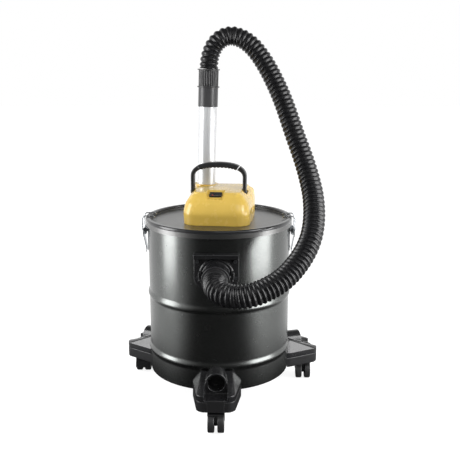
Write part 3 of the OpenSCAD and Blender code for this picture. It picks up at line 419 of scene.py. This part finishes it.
def rubber_finish():
    f = Finish("rubber")
    f.set(Base_Color=mixed_tone(f, (0.014, 0.014, 0.014), 0.25, 6),
          Roughness=f.spread(f.noise(2, 4), 0.6, 0.8))
    f.bump(f.noise(0.3, 4), 0.02)
    return f.material


def paper_finish():
    """Pleated filter paper with fibres."""
    f = Finish("filter_paper")
    fibres = f.noise(0.5, 6, stretch=(1, 1, 0.25))
    f.set(Base_Color=f.ramp(fibres, (0.3, (0.60, 0.54, 0.40)), (0.7, (0.76, 0.70, 0.55))), Roughness=0.9)
    f.bump(fibres, 0.05)
    return f.material


def hose_finish():
    """Black hose plastic with soft clouds and a fine grain."""
    f = Finish("hose_plastic")
    f.set(Base_Color=mixed_tone(f, (0.010, 0.010, 0.011), 0.3, 8),
          Roughness=f.spread(f.noise(4, 5), 0.2, 0.3))
    f.set(Specular_IOR_Level=0.32, Coat_Weight=0.05, Coat_Roughness=0.1)
    f.bump(f.noise(0.5, 3), 0.012)
    return f.material


def make_finishes():
    return {
        "drum_paint": paint("drum_paint", (0.125, 0.13, 0.127), (0.3, 0.31, 0.3), 0.26, 0.96),
        "lid_paint": paint("lid_paint", (0.15, 0.15, 0.148), (0.42, 0.42, 0.42), 0.36, 0.9),
        "black_gloss": moulding("black_gloss", (0.014, 0.014, 0.015), 0.22, 0.8, 0.003,
                                (0.035, 0.036, 0.038), coat=0.3),
        "black_plastic": moulding("black_plastic", (0.017, 0.017, 0.018), 0.34, 0.4, 0.01,
                                  (0.05, 0.05, 0.052)),
        "grey_plastic": moulding("grey_plastic", (0.03, 0.03, 0.032), 0.48, 0.3, 0.02,
                                 (0.06, 0.06, 0.062)),
        "wheel_plastic": moulding("wheel_plastic", (0.02, 0.02, 0.021), 0.4, 0.4, 0.02,
                                  (0.07, 0.07, 0.07)),
        "yellow_plastic": yellow_finish(),
        "red_mark": moulding("red_mark", (0.55, 0.03, 0.02), 0.35, 0.3, 0.005),
        "chrome": chrome_finish(),
        "zinc_steel": zinc_finish(),
        "rubber": rubber_finish(),
        "hose_plastic": hose_finish(),
        "filter_paper": paper_finish(),
        "copper": metal("copper", (0.55, 0.24, 0.10), (0.78, 0.40, 0.20), 0.35),
        "aluminium": metal("aluminium", (0.60, 0.61, 0.62), (0.78, 0.79, 0.80), 0.32),
    }


def dress_nodes():
    """Every CAD node takes its record slot's finish."""
    for part in frame["record"]["subparts"]:
        materials = frame["nodes"][part["node"]].data.materials
        materials.clear()
        materials.append(FINISH[part["material_slot"]])


# ---- Hose ------------------------------------------------------------------

HOSE_POINTS = [
    (0, -215, 245), (3, -236, 242), (15, -254, 238), (38, -264, 236), (70, -264, 240),
    (101, -252, 250), (126, -236, 262), (147, -216, 278), (165, -194, 297), (179, -170, 319),
    (187, -145, 343), (190, -120, 368), (189, -96, 394), (184, -75, 420), (177, -58, 446),
    (168, -43, 473), (158, -30, 500), (148, -17, 529), (138, -4, 558), (127, 8, 586),
    (114, 20, 614), (100, 30, 640), (85, 38, 663), (68, 44, 683), (48, 48, 697), (27, 50, 703),
    (8, 50, 699), (-6, 50, 688), (-15, 49, 673), (-20, 48, 656), (-22, 48, 636)]
HOSE_R_LOW = 23
HOSE_R_HIGH = 19.6
RIB_DEPTH = 3.2
RIB_PITCH_LOW = 7.0
RIB_PITCH_HIGH = 9.8
RIB_STRETCHED_AT = 0.3
RIB_STEPS = 9
RIB_BREADTH = 0.55
HOSE_SIDES = 36
HOSE_PLAIN_END = 5
HOSE_CURVE_STEPS = 24


def spline(a, b, c, d, t):
    """Catmull-Rom between b and c, for numbers or vectors."""
    return 0.5 * (2 * b + (c - a) * t + (2 * a - 5 * b + 4 * c - d) * t ** 2
                  + (3 * b - a - 3 * c + d) * t ** 3)


def through(points, steps):
    """A smooth curve through the points, as the CAD tube has it."""
    last = len(points) - 1
    at = [Vector(points[min(max(i, 0), last)]) for i in range(-1, last + 2)]
    out = []
    for i in range(last):
        out += [spline(*at[i:i + 4], k / steps) for k in range(steps)]
    return out + [Vector(points[-1])]


def distances(line):
    out = [0.0]
    for a, b in zip(line, line[1:]):
        out.append(out[-1] + (b - a).length)
    return out


def point_at(line, gone, s):
    """The point and direction at distance s along the line."""
    i = next((k for k in range(1, len(gone)) if gone[k] >= s), len(gone) - 1)
    a, b = line[i - 1], line[i]
    t = (s - gone[i - 1]) / (gone[i] - gone[i - 1])
    return a.lerp(b, t), (b - a).normalized()


def carried_sides(directions, first):
    """A side direction at each place, turned as little as possible along the line."""
    side, out = first, []
    for d in directions:
        side = (side - side.dot(d) * d).normalized()
        out.append(side)
    return out


def rib(phase):
    """Height of the hose wall within one turn of its spiral, 0 to 1: broad crests, narrow grooves."""
    wave = 0.5 + 0.5 * cos(tau * phase)
    return wave ** RIB_BREADTH


def hose_stations(length):
    """Distances along the hose with the spiral's turns counted at each."""
    out, s, turn = [], 0.0, 0.0
    while s < length:
        out.append((s, turn))
        pitch = RIB_PITCH_LOW + (RIB_PITCH_HIGH - RIB_PITCH_LOW) * min(1, s / length / RIB_STRETCHED_AT)
        s += pitch / RIB_STEPS
        turn += 1 / RIB_STEPS
    return out + [(length, turn)]


def make_hose():
    """The corrugated suction hose, from the inlet cuff to the wand's grip."""
    line = through(HOSE_POINTS, HOSE_CURVE_STEPS)
    gone = distances(line)
    length = gone[-1]
    stations = hose_stations(length)
    places = [point_at(line, gone, s) for s, _ in stations]
    sides = carried_sides([d for _, d in places], Vector((0, 0, 1)))
    rings = []
    for (s, turn), (centre, d), side in zip(stations, places, sides):
        outer = HOSE_R_LOW + (HOSE_R_HIGH - HOSE_R_LOW) * s / length
        depth = RIB_DEPTH * min(1, s / HOSE_PLAIN_END, (length - s) / HOSE_PLAIN_END)
        up = d.cross(side)
        ring = []
        for k in range(HOSE_SIDES):
            share = k / HOSE_SIDES
            r = outer - depth * (1 - rib(turn - share))
            a = tau * share
            ring.append(centre + r * (cos(a) * side + sin(a) * up))
        rings.append(ring)
    hose = loft("corrugated_hose", rings, FINISH["hose_plastic"], sharp=75)
    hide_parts("suction_hose")
    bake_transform(hose)


# ---- Motor head ------------------------------------------------------------

PLATE_Z = box("head_cover")[0].z
PIVOT_Z = joint_place("handle_swing").z
CROWN_Z = box("head_cover")[1].z
HEAD_STEPS = 44
CORNER_STEPS = 14

# Slices of the head: height above the plate, half width at the front and rear, front, rear, corner radii
HEAD_SLICES = [
    (0, 68, 68, -72, 73, 26, 20), (10, 68.5, 68.5, -73, 74, 26, 20), (26, 68, 68.5, -75, 76, 25, 18),
    (44, 64, 67.5, -69, 76, 24, 17), (58, 55, 64.5, -59, 74, 19, 15), (64, 48, 55, -54, 71, 12, 13)]
HEAD_SHIFT = 2.5
HEAD_BOW = 1.5
CROWN_EDGE = 2
CROWN_STEPS = 6
CROWN_FLAT = 40
HEAD_POINTS = 200
OUTLINE_STEP = 5
LEAST_CORNER = 3


def mid_slice(z):
    """The head's slice at a height above the plate."""
    n = len(HEAD_SLICES)
    i = max(k for k in range(n - 1) if HEAD_SLICES[k][0] <= z)
    a, b, c, d = (HEAD_SLICES[min(max(k, 0), n - 1)] for k in (i - 1, i, i + 1, i + 2))
    t = (z - b[0]) / (c[0] - b[0])
    return [spline(*values, t) for values in zip(a[1:], b[1:], c[1:], d[1:])]


def head_outline(front_half, rear_half, front, rear, front_r, rear_r):
    """Four sides, narrower in front, with round corners and faces bowed a little outwards."""
    corners = []
    for cx, cy, half, y, r, start in (
            (1, 1, rear_half, rear, rear_r, 0), (-1, 1, rear_half, rear, rear_r, 90),
            (-1, -1, front_half, front, front_r, 180), (1, -1, front_half, front, front_r, 270)):
        for i in range(CORNER_STEPS + 1):
            a = radians(start + 90 * i / CORNER_STEPS)
            corners.append((cx * (half - r) + r * cos(a), y - cy * r + r * sin(a)))
    mid, deep = (front + rear) / 2, (rear - front) / 2
    wide = (front_half + rear_half) / 2
    out = []
    for x, y in filled(corners, OUTLINE_STEP):
        gx, gy = x / wide, (y - mid) / deep
        bow_x, bow_y = HEAD_BOW * gx * max(0, 1 - gy ** 2), HEAD_BOW * gy * max(0, 1 - gx ** 2)
        out.append((HEAD_SHIFT + x + bow_x, y + bow_y))
    return out


def filled(outline, most):
    """The outline with points no further apart than most."""
    out = []
    for a, b in zip(outline, outline[1:] + outline[:1]):
        n = max(1, ceil(hypot(b[0] - a[0], b[1] - a[1]) / most))
        out += [(a[0] + (b[0] - a[0]) * k / n, a[1] + (b[1] - a[1]) * k / n) for k in range(n)]
    return out


def head_rings(inset=0.0):
    """Rings of the head from its foot over its flat, softly edged crown."""
    top = HEAD_SLICES[-1][0]
    rings = []

    def ring(z, shape, shrink):
        front_half, rear_half, front, rear, front_r, rear_r = shape
        return [(x, y, PLATE_Z + z) for x, y in head_outline(
            front_half - shrink, rear_half - shrink, front + shrink, rear - shrink,
            max(front_r - shrink, LEAST_CORNER), max(rear_r - shrink, LEAST_CORNER))]

    for i in range(HEAD_STEPS):
        z = top * i / HEAD_STEPS
        rings.append(ring(z, mid_slice(z), inset))
    last = mid_slice(top - 0.001)
    for i in range(CROWN_STEPS + 1):
        a = radians(90 * i / CROWN_STEPS)
        rings.append(ring(top + CROWN_EDGE * sin(a), last, inset + CROWN_EDGE * (1 - cos(a))))
    rise = CROWN_Z - PLATE_Z - top - CROWN_EDGE
    for share in (0.15, 0.3, 0.45, 0.6, 0.75, 0.9):
        rings.append(ring(top + CROWN_EDGE + rise * (1 - (1 - share) ** 2), last,
                          inset + CROWN_EDGE + CROWN_FLAT * share))
    return [[(x, y, z - (inset if z > PLATE_Z + 20 else 0)) for x, y, z in r] for r in rings]


def same_count(rings, count=HEAD_POINTS):
    """The rings with as many points each, evenly spaced and started at the same angle."""
    out = []
    for ring in rings:
        cx = sum(p[0] for p in ring) / len(ring)
        cy = sum(p[1] for p in ring) / len(ring)
        around = sorted(ring, key=lambda p: atan2(p[1] - cy, p[0] - cx))
        line = [Vector(p) for p in around + around[:1]]
        gone = distances(line)
        out.append([point_at(line, gone, gone[-1] * (k + 0.001) / count)[0] for k in range(count)])
    return out


def block(name, low, high, r=0.0):
    """A box, with upright round edges if r is given."""
    (x0, y0, z0), (x1, y1, z1) = low, high
    outline = rounded_rect((x1 - x0) / 2, (y1 - y0) / 2, r, 5) if r else [
        ((x1 - x0) / 2 * a, (y1 - y0) / 2 * b) for a, b in ((1, 1), (-1, 1), (-1, -1), (1, -1))]
    cx, cy = (x0 + x1) / 2, (y0 + y1) / 2
    return loft(name, [[(cx + x, cy + y, z) for x, y in outline] for z in (z0, z1)])


POCKET_X = 50.7
POCKET_HALF = 17.5
POCKET_W = 10.5
POCKET_LOW = PIVOT_Z - 9.5
SWITCH_HALF = 19.5
SWITCH_SLANT = 3.5
SWITCH_FRONT = -35
SWITCH_LOW = CROWN_Z - 15.5
SWITCH_REACH = 40
ABOVE_CROWN = 5
GRILLE_HALF = 26
GRILLE_DEPTH = (60, 100)
SCOOP_DEPTH = 2.2
SCOOP_REACH = (30, 90)
SCOOP = [(-16, 26), (4, 26), (9, 31), (9, 52), (14, 52), (17, 28), (10, 20), (-14, 20)]


def handle_pocket(side):
    """The cutter for the pocket that a leg of the handle swings in."""
    x0, x1 = sorted((side * POCKET_X, side * (POCKET_X + POCKET_W)))
    return block("tool", (x0, -POCKET_HALF, POCKET_LOW), (x1, POCKET_HALF, POCKET_LOW + 60), r=3)


def switch_pocket():
    """The cutter for the switch recess, wider at its top."""
    upright = Matrix.Translation((0, SWITCH_FRONT, 0)) @ Matrix.Rotation(pi / 2, 4, "X")
    low, high = SWITCH_HALF - SWITCH_SLANT, SWITCH_HALF
    top = CROWN_Z + ABOVE_CROWN
    outline = [(-low, SWITCH_LOW), (low, SWITCH_LOW), (high, top), (-high, top)]
    return loft("tool", [[(x, y, d) for x, y in outline] for d in (0, SWITCH_REACH)], place=upright)


def scoops():
    """The shallow hooked scoops in the flanks, as deep everywhere."""
    tools = []
    for side in SIDES.values():
        x0, x1 = sorted(side * x for x in SCOOP_REACH)
        rings = [[(x, y, PLATE_Z + z) for y, z in SCOOP] for x in (x0, x1)]
        tool = loft("tool", rings)
        cut(tool, loft("tool", same_count(head_rings(SCOOP_DEPTH))))
        tools.append(tool)
    return tools


def wand_hole():
    """The cutter for the wand's park socket."""
    low, high = box("socket_liner")
    centre = (low + high) / 2
    r = (high.x - low.x) / 2 - 3
    rings = [[(centre.x + r * cos(tau * k / 64), centre.y + r * sin(tau * k / 64), z) for k in range(64)]
             for z in (low.z, high.z + 10)]
    return loft("tool", rings, place=HEAD.inverted())


def make_head():
    """The yellow cover with its handle pockets, switch recess, scoops and rear openings."""
    head = loft("head_shell", same_count(head_rings()), FINISH["yellow_plastic"])
    grille_low, grille_high = box("exhaust_grille")
    turned = HEAD.inverted()
    centre = turned @ ((grille_low + grille_high) / 2)
    tools = [handle_pocket(-1), handle_pocket(1), switch_pocket(), wand_hole(),
             block("tool", (centre.x - GRILLE_HALF, GRILLE_DEPTH[0], grille_low.z),
                   (centre.x + GRILLE_HALF, GRILLE_DEPTH[1], grille_high.z))]
    cut(head, *scoops(), *tools)
    moulded(head, 0.8, 4)
    head.data.transform(HEAD)
    seat(head, "lid", "yellow_plastic", "head_cover")


# ---- Carry handle ----------------------------------------------------------

HANDLE_HALF = 59
HANDLE_T = 8
HANDLE_D = 17
GRIP_T = 10.5
GRIP_HALF = 44
HANDLE_TOP = box("handle_grip")[1].z
SHOULDER_H = 31
SHOULDER_Z = HANDLE_TOP - SHOULDER_H
SHOULDER_POWER = 2.4
SHOULDER_STEPS = 22
SECTION_CORNER = 2.6
LEG_UNDER_GRIP = 1.5
LEG_SECTIONS = [
    (PIVOT_Z - 8.4, 3.5), (PIVOT_Z - 7.2, 5.4), (PIVOT_Z - 4.5, 7.6), (PIVOT_Z, 8.6),
    (PIVOT_Z + 6, 8.6), (PIVOT_Z + 14, 8.5), (SHOULDER_Z - 6, 8.5)]
GRIP_STEPS = 150
GRIP_FAT = 0.35
GRIP_END = 0.02
SCALLOPS = 11
SCALLOP_DEPTH = 1.6
SCALLOPED = 0.86


def shoulder(half, height, x):
    """Height of the handle's arch over its legs."""
    return height * (1 - abs(x / half) ** SHOULDER_POWER) ** (1 / SHOULDER_POWER)


def arch_pair(a):
    """Outer and inner point of the handle at an angle from its middle."""
    outer, inner = HANDLE_HALF * sin(a), (HANDLE_HALF - HANDLE_T) * sin(a)
    high = SHOULDER_Z + shoulder(HANDLE_HALF, SHOULDER_H, outer)
    low = SHOULDER_Z + shoulder(HANDLE_HALF - HANDLE_T, SHOULDER_H - GRIP_T, inner)
    return Vector((outer, 0, high)), Vector((inner, 0, low))


def band_ring(outer, inner, half_d, fat=0.0):
    """A soft-cornered section between two points, across the handle."""
    centre, span = (outer + inner) / 2, (outer - inner) / 2
    half_t = span.length + fat
    out = span.normalized()
    return [centre + out * x + Vector((0, y, 0)) for x, y in rounded_rect(half_t, half_d, SECTION_CORNER, 5)]


def leg_rings(side):
    """The leg up from its pivot eye and round the shoulder to the grip."""
    rings = []
    outer_x, inner_x = side * HANDLE_HALF, side * (HANDLE_HALF - HANDLE_T)
    for z, half_d in LEG_SECTIONS:
        rings.append(band_ring(Vector((outer_x, 0, z)), Vector((inner_x, 0, z)), half_d))
    start = pi / 2
    stop = next(a for a in [radians(89 - k / 2) for k in range(178)]
                if HANDLE_HALF * sin(a) < GRIP_HALF + LEG_UNDER_GRIP)
    for i in range(SHOULDER_STEPS + 1):
        a = start + (stop - start) * i / SHOULDER_STEPS
        outer, inner = arch_pair(side * a)
        rings.append(band_ring(outer, inner, HANDLE_D / 2))
    return rings


def make_handle():
    """The two legs of the carry handle, and its grip."""
    for name, side in SIDES.items():
        leg = loft(f"handle_leg_{name}", leg_rings(side), FINISH["black_plastic"], place=HEAD)
        seat(leg, "handle", "black_plastic", "carry_handle")
    make_grip()


def make_grip():
    """The grip with its scalloped underside, a little fatter than the legs."""
    end = next(a for a in [radians(89 - k / 4) for k in range(356)] if HANDLE_HALF * sin(a) < GRIP_HALF)
    rings = []
    for i in range(GRIP_STEPS + 1):
        a = -end + 2 * end * i / GRIP_STEPS
        outer, inner = arch_pair(a)
        along = (i / GRIP_STEPS - 0.5) * 2
        near_end = min(1, (1 - abs(along)) / GRIP_END)
        wave = abs(cos(pi * SCALLOPS * along / 2)) ** 0.7 if abs(along) < SCALLOPED else 1
        inner = inner + (inner - outer).normalized() * (wave * SCALLOP_DEPTH - SCALLOP_DEPTH / 2)
        rings.append(band_ring(outer, inner, HANDLE_D / 2 + 0.3 - 0.6 * (1 - near_end), GRIP_FAT * near_end))
    grip = loft("scalloped_grip", rings, FINISH["black_plastic"], place=HEAD, sharp=50)
    seat(grip, "handle", "black_plastic", "handle_grip")


# ---- Wand grip -------------------------------------------------------------

SLEEVE_LENGTH = 38
SLEEVE_R = 20.9
SLEEVE_BORE = 18
SLEEVE_SIDES = 240
FLUTES = 30
FLUTE_DEPTH = 0.8
FLANGE_R = 23.6
FLANGE_T = 2.4
FLANGE_EDGE = 0.6


def wand_frame():
    """A turn that lays Z along the wand, and the wand's axis."""
    low, high = box("hose_collar")
    top = (box("collar_grip")[0] + box("collar_grip")[1]) / 2
    mid = (low + high) / 2
    axis = (top - mid).normalized()
    return Vector((0, 0, 1)).rotation_difference(axis).to_matrix().to_4x4(), axis


def make_collar_grip():
    """The hose end's grip: a fluted sleeve between two thin flanges."""
    turn, axis = wand_frame()
    low, high = box("collar_grip")
    length = SLEEVE_LENGTH
    place = Matrix.Translation((low + high) / 2 - axis * length / 2) @ turn
    heights = [2.2, 2.6, 4] + [4 + (length - 8) * k / 10 for k in range(1, 10)]
    heights += [length - 4, length - 2.6, length - 2.2]
    rings = []
    for z in heights:
        fade = 0 if z < 3 or z > length - 3 else 1
        ring = []
        for k in range(SLEEVE_SIDES):
            a = tau * k / SLEEVE_SIDES
            r = SLEEVE_R - FLUTE_DEPTH * fade * (0.5 - 0.5 * cos(FLUTES * a)) ** 1.5
            ring.append((r * cos(a), r * sin(a), z))
        rings.append(ring)
    sleeve = loft("fluted_sleeve", rings, FINISH["black_plastic"], place=place)
    seat(sleeve, "lid", "black_plastic", "collar_grip")
    for name, z in (("low", 0), ("high", length - FLANGE_T)):
        top, rim = z + FLANGE_T, FLANGE_R - FLANGE_EDGE
        profile = [(SLEEVE_BORE, z), (rim, z), (FLANGE_R, z + FLANGE_EDGE), (FLANGE_R, top - FLANGE_EDGE),
                   (rim, top), (SLEEVE_BORE, top)]
        flange = revolve(f"sleeve_flange_{name}", profile, FINISH["black_plastic"], place=place)
        seat(flange, "lid", "black_plastic")


# ---- Lid rim ---------------------------------------------------------------

RIM_IN = 144.9
ROLL_SKIN = 0.4


def make_rolled_rim():
    """The dark rolled edge on the lid's rim."""
    r = 3 + ROLL_SKIN
    top = RIM_TOP + ROLL_SKIN
    out, inner = RIM_R + ROLL_SKIN, RIM_IN - ROLL_SKIN
    profile = [(out - 1, top - 7.2), (out - 0.3, top - 7), (out, top - 6.4)]
    profile += [(out - r + r * cos(radians(a)), top - r + r * sin(radians(a))) for a in range(0, 91, 15)]
    profile += [(inner + r + r * cos(radians(a)), top - r + r * sin(radians(a))) for a in range(90, 181, 15)]
    profile += [(inner, top - 4.4), (inner + 0.3, top - 5), (inner + 1, top - 5.2)]
    profile += [(inner + 1.2, top - 3), (inner + 3, top - 1.2), (out - 3, top - 1.2), (out - 1.2, top - 3)]
    seat(revolve("rolled_rim", profile, FINISH["black_gloss"], steps=192), "lid", "black_gloss")


# ---- Moulded copies --------------------------------------------------------

FOOT_TIP_R = 223
SOFT_EDGE = 0.35
SOFTENED = [
    "clip_plate_left", "clip_plate_right", "clip_lever_left", "clip_lever_right", "rocker_switch",
    "switch_bezel", "exhaust_grille", "cable_gland"] + [f"castor_{foot}_wheels" for foot in FEET]


def make_moulded_parts():
    """Pieces whose CAD shape is right get moulded edges."""
    moulded_copy("inlet_flange", "black_gloss", 0.8, 5)
    for foot in FEET:
        moulded_copy(f"foot_{foot}_cover", "black_gloss", 0.7, 7)
        moulded_copy(f"foot_{foot}_tray", "black_plastic", 0.8, 6)
        moulded_copy(f"castor_{foot}_hood", "black_plastic", 0.7, 4)
    moulded_copy("hose_cuff", "black_plastic", 0.7, 3)
    for side in SIDES:
        moulded_copy(f"clip_bail_{side}", "zinc_steel", 0.35, 4)


PANEL_HALF = 17
PANEL_PROUD = 0.8
PANEL_T = 3
PANEL_OVER = 3.5


def make_foot_panels():
    """The flat panel down the middle of each foot's tip, from the recess to the castor."""
    for foot in FEET:
        low, high = box(f"foot_{foot}_tray")
        stem = joint_place(f"{foot}_castor_swivel")
        tip = FOOT_TIP_R + PANEL_PROUD
        panel = block(f"foot_panel_{foot}", (-PANEL_HALF, -tip, low.z + 1),
                      (PANEL_HALF, -tip + PANEL_T, high.z + PANEL_OVER), r=1)
        panel.data.materials.append(FINISH["black_plastic"])
        panel.data.transform(Matrix.Rotation(atan2(stem.x, -stem.y), 4, "Z"))
        moulded(panel, 0.5, 2)
        seat(panel, "drum", "black_plastic")


MARK_SHARE = 0.27
MARK_BACK = 4
MARK_HALF = (1.5, 1.1)
MARK_CORNER = 0.5
MARK_RISE = ((-0.6, 1), (0.3, 1), (0.5, 0.8))
RAY_START = 20


def make_rocker_mark():
    """The small raised red mark on the rocker, where a ray from above meets it."""
    rocker = frame["nodes"]["rocker_switch"]
    low, high = box("rocker_switch")
    start = Vector((low.x + MARK_SHARE * (high.x - low.x), low.y + MARK_BACK, high.z + RAY_START))
    _, place, normal, _ = rocker.ray_cast(rocker.matrix_world.inverted() @ (start * MM), Vector((0, 0, -1)))
    place = rocker.matrix_world @ place / MM
    turn = Vector((0, 0, 1)).rotation_difference(normal).to_matrix().to_4x4()
    outline = rounded_rect(*MARK_HALF, MARK_CORNER, 4)
    rings = [[(x * k, y * k, z) for x, y in outline] for z, k in MARK_RISE]
    mark = loft("rocker_mark", rings, FINISH["red_mark"], place=Matrix.Translation(place) @ turn)
    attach(mark, rocker["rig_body"])


def soften(node, width):
    """Small round edges on a CAD node that stays."""
    obj = frame["nodes"][node]
    weld = obj.modifiers.new("weld", "WELD")
    weld.merge_threshold = 0.002 * MM
    bevel = obj.modifiers.new("bevel", "BEVEL")
    bevel.width = width * MM
    bevel.segments = 2
    bevel.limit_method = "ANGLE"
    bevel.angle_limit = radians(35)
    normals = obj.modifiers.new("normals", "WEIGHTED_NORMAL")
    normals.keep_sharp = False


# ---- Light and floor -------------------------------------------------------

# Where reflections fade from dark to light: by heading, by height and by distance in metres
FRONT_FADE = (-0.85, -0.35)
SKY_FADE = (0.35, 0.8)
MAT_FADE = (0.25, 0.6)
DARK = 0.03
OVERHEAD = 0.12
AMBIENT = 0.5
FLOOR_GLOW = 0.86


def smooth_range(nodes, links, source, reach, values):
    """Passes smoothly from one value to the other while the source runs through its reach."""
    node = nodes.new("ShaderNodeMapRange")
    node.interpolation_type = "SMOOTHSTEP"
    for name, value in zip(("From Min", "From Max", "To Min", "To Max"), (*reach, *values)):
        node.inputs[name].default_value = value
    links.new(source, node.inputs["Value"])
    return node.outputs["Result"]


def combined(nodes, links, operation, one, other):
    """A Math node's result for two sources."""
    node = nodes.new("ShaderNodeMath")
    node.operation = operation
    links.new(one, node.inputs[0])
    links.new(other, node.inputs[1])
    return node.outputs[0]


def either(nodes, links, share, one, other):
    """Shader one where share is 0 and the other where it is 1."""
    node = nodes.new("ShaderNodeMixShader")
    for socket, source in zip(node.inputs, (share, one, other)):
        links.new(source, socket)
    return node.outputs[0]


def make_world(ambient):
    """A white horizon, darker overhead and behind the camera in reflections, and plain soft light."""
    world = bpy.data.worlds.new("studio")
    bpy.context.scene.world = world
    world.use_nodes = True
    nodes, links = world.node_tree.nodes, world.node_tree.links
    nodes.clear()
    path = nodes.new("ShaderNodeLightPath")
    mirrored = combined(nodes, links, "MAXIMUM",
                        path.outputs["Is Glossy Ray"], path.outputs["Is Transmission Ray"])
    parts = nodes.new("ShaderNodeSeparateXYZ")
    links.new(nodes.new("ShaderNodeTexCoord").outputs["Generated"], parts.inputs[0])
    sky = smooth_range(nodes, links, parts.outputs["Z"], SKY_FADE, (1, OVERHEAD))
    front = smooth_range(nodes, links, parts.outputs["Y"], FRONT_FADE, (DARK, 1))
    room = combined(nodes, links, "MULTIPLY", sky, front)
    by_gloss = nodes.new("ShaderNodeMix")
    by_gloss.inputs["A"].default_value = ambient
    links.new(mirrored, by_gloss.inputs["Factor"])
    links.new(room, by_gloss.inputs["B"])
    strength = nodes.new("ShaderNodeMix")
    strength.inputs["B"].default_value = 1
    links.new(path.outputs["Is Camera Ray"], strength.inputs["Factor"])
    links.new(by_gloss.outputs["Result"], strength.inputs["A"])
    glow = nodes.new("ShaderNodeBackground")
    glow.inputs["Color"].default_value = (1, 1, 1, 1)
    links.new(strength.outputs["Result"], glow.inputs["Strength"])
    out = nodes.new("ShaderNodeOutputWorld")
    links.new(glow.outputs[0], out.inputs["Surface"])


def floor_finish():
    """Pale floor: white with a soft shadow to the camera, and a dark mat round the object in reflections."""
    material = bpy.data.materials.new("floor")
    material.use_nodes = True
    nodes, links = material.node_tree.nodes, material.node_tree.links
    nodes.clear()
    cloth = nodes.new("ShaderNodeBsdfDiffuse")
    cloth.inputs["Color"].default_value = (0.4, 0.4, 0.4, 1)
    glow = nodes.new("ShaderNodeEmission")
    glow.inputs["Strength"].default_value = FLOOR_GLOW
    white = nodes.new("ShaderNodeAddShader")
    links.new(cloth.outputs[0], white.inputs[0])
    links.new(glow.outputs[0], white.inputs[1])
    place = nodes.new("ShaderNodeTexCoord").outputs["Object"]
    far = nodes.new("ShaderNodeVectorMath")
    far.operation = "LENGTH"
    links.new(place, far.inputs[0])
    heading = nodes.new("ShaderNodeVectorMath")
    heading.operation = "NORMALIZE"
    links.new(place, heading.inputs[0])
    parts = nodes.new("ShaderNodeSeparateXYZ")
    links.new(heading.outputs[0], parts.inputs[0])
    beyond = smooth_range(nodes, links, far.outputs["Value"], MAT_FADE, (DARK, 1))
    beside = smooth_range(nodes, links, parts.outputs["Y"], FRONT_FADE, (DARK, 1))
    mirrored = nodes.new("ShaderNodeEmission")
    links.new(combined(nodes, links, "MULTIPLY", beyond, beside), mirrored.inputs["Strength"])
    grey = nodes.new("ShaderNodeBsdfDiffuse")
    grey.inputs["Color"].default_value = (0.5, 0.5, 0.5, 1)
    path = nodes.new("ShaderNodeLightPath")
    unseen = either(nodes, links, path.outputs["Is Glossy Ray"], grey.outputs[0], mirrored.outputs[0])
    shown = either(nodes, links, path.outputs["Is Camera Ray"], unseen, white.outputs[0])
    out = nodes.new("ShaderNodeOutputMaterial")
    links.new(shown, out.inputs["Surface"])
    return material


FLOOR_HALF = 12
FLOOR_DROP = 0.0005


def make_floor():
    """One large flat sheet just under the wheels, in metres."""
    size = FLOOR_HALF
    mesh = bpy.data.meshes.new("floor")
    z = cad_low.z - FLOOR_DROP
    corners = [(-size, -size, z), (size, -size, z), (size, size, z), (-size, size, z)]
    mesh.from_pydata(corners, [], [(0, 1, 2, 3)])
    add_object("floor", mesh, floor_finish())


def softbox(name, azimuth, distance, height, width, tall, radiance, aim=0.2):
    """A soft lamp at an azimuth from -Y towards +X, turned to the object. Metres and degrees."""
    data = bpy.data.lights.new(name, "AREA")
    data.shape = "RECTANGLE"
    data.size, data.size_y = width, tall
    data.energy = radiance * 4 * width * tall
    lamp = bpy.data.objects.new(name, data)
    lamp.visible_camera = False
    a = radians(azimuth)
    lamp.location = (distance * sin(a), -distance * cos(a), height)
    toward = Vector((0, 0, aim)) - lamp.location
    lamp.rotation_euler = toward.to_track_quat("-Z", "Y").to_euler()
    bpy.context.scene.collection.objects.link(lamp)


def make_light():
    make_world(AMBIENT)
    softbox("left_box", -78, 0.9, 0.42, 0.42, 0.9, 5)
    softbox("right_box", 68, 0.9, 0.42, 0.62, 0.9, 5)
    softbox("top_box", 20, 1.6, 1.7, 1.4, 1.0, 1.2, aim=0.35)


# ---- Scene -----------------------------------------------------------------

bpy.context.scene.view_settings.view_transform = "Standard"
make_camera()
FINISH = make_finishes()
make_hose()
dress_nodes()
make_head()
make_handle()
make_collar_grip()
make_rolled_rim()
make_moulded_parts()
make_foot_panels()
make_rocker_mark()
for node in SOFTENED:
    soften(node, SOFT_EDGE)
make_floor()
make_light()
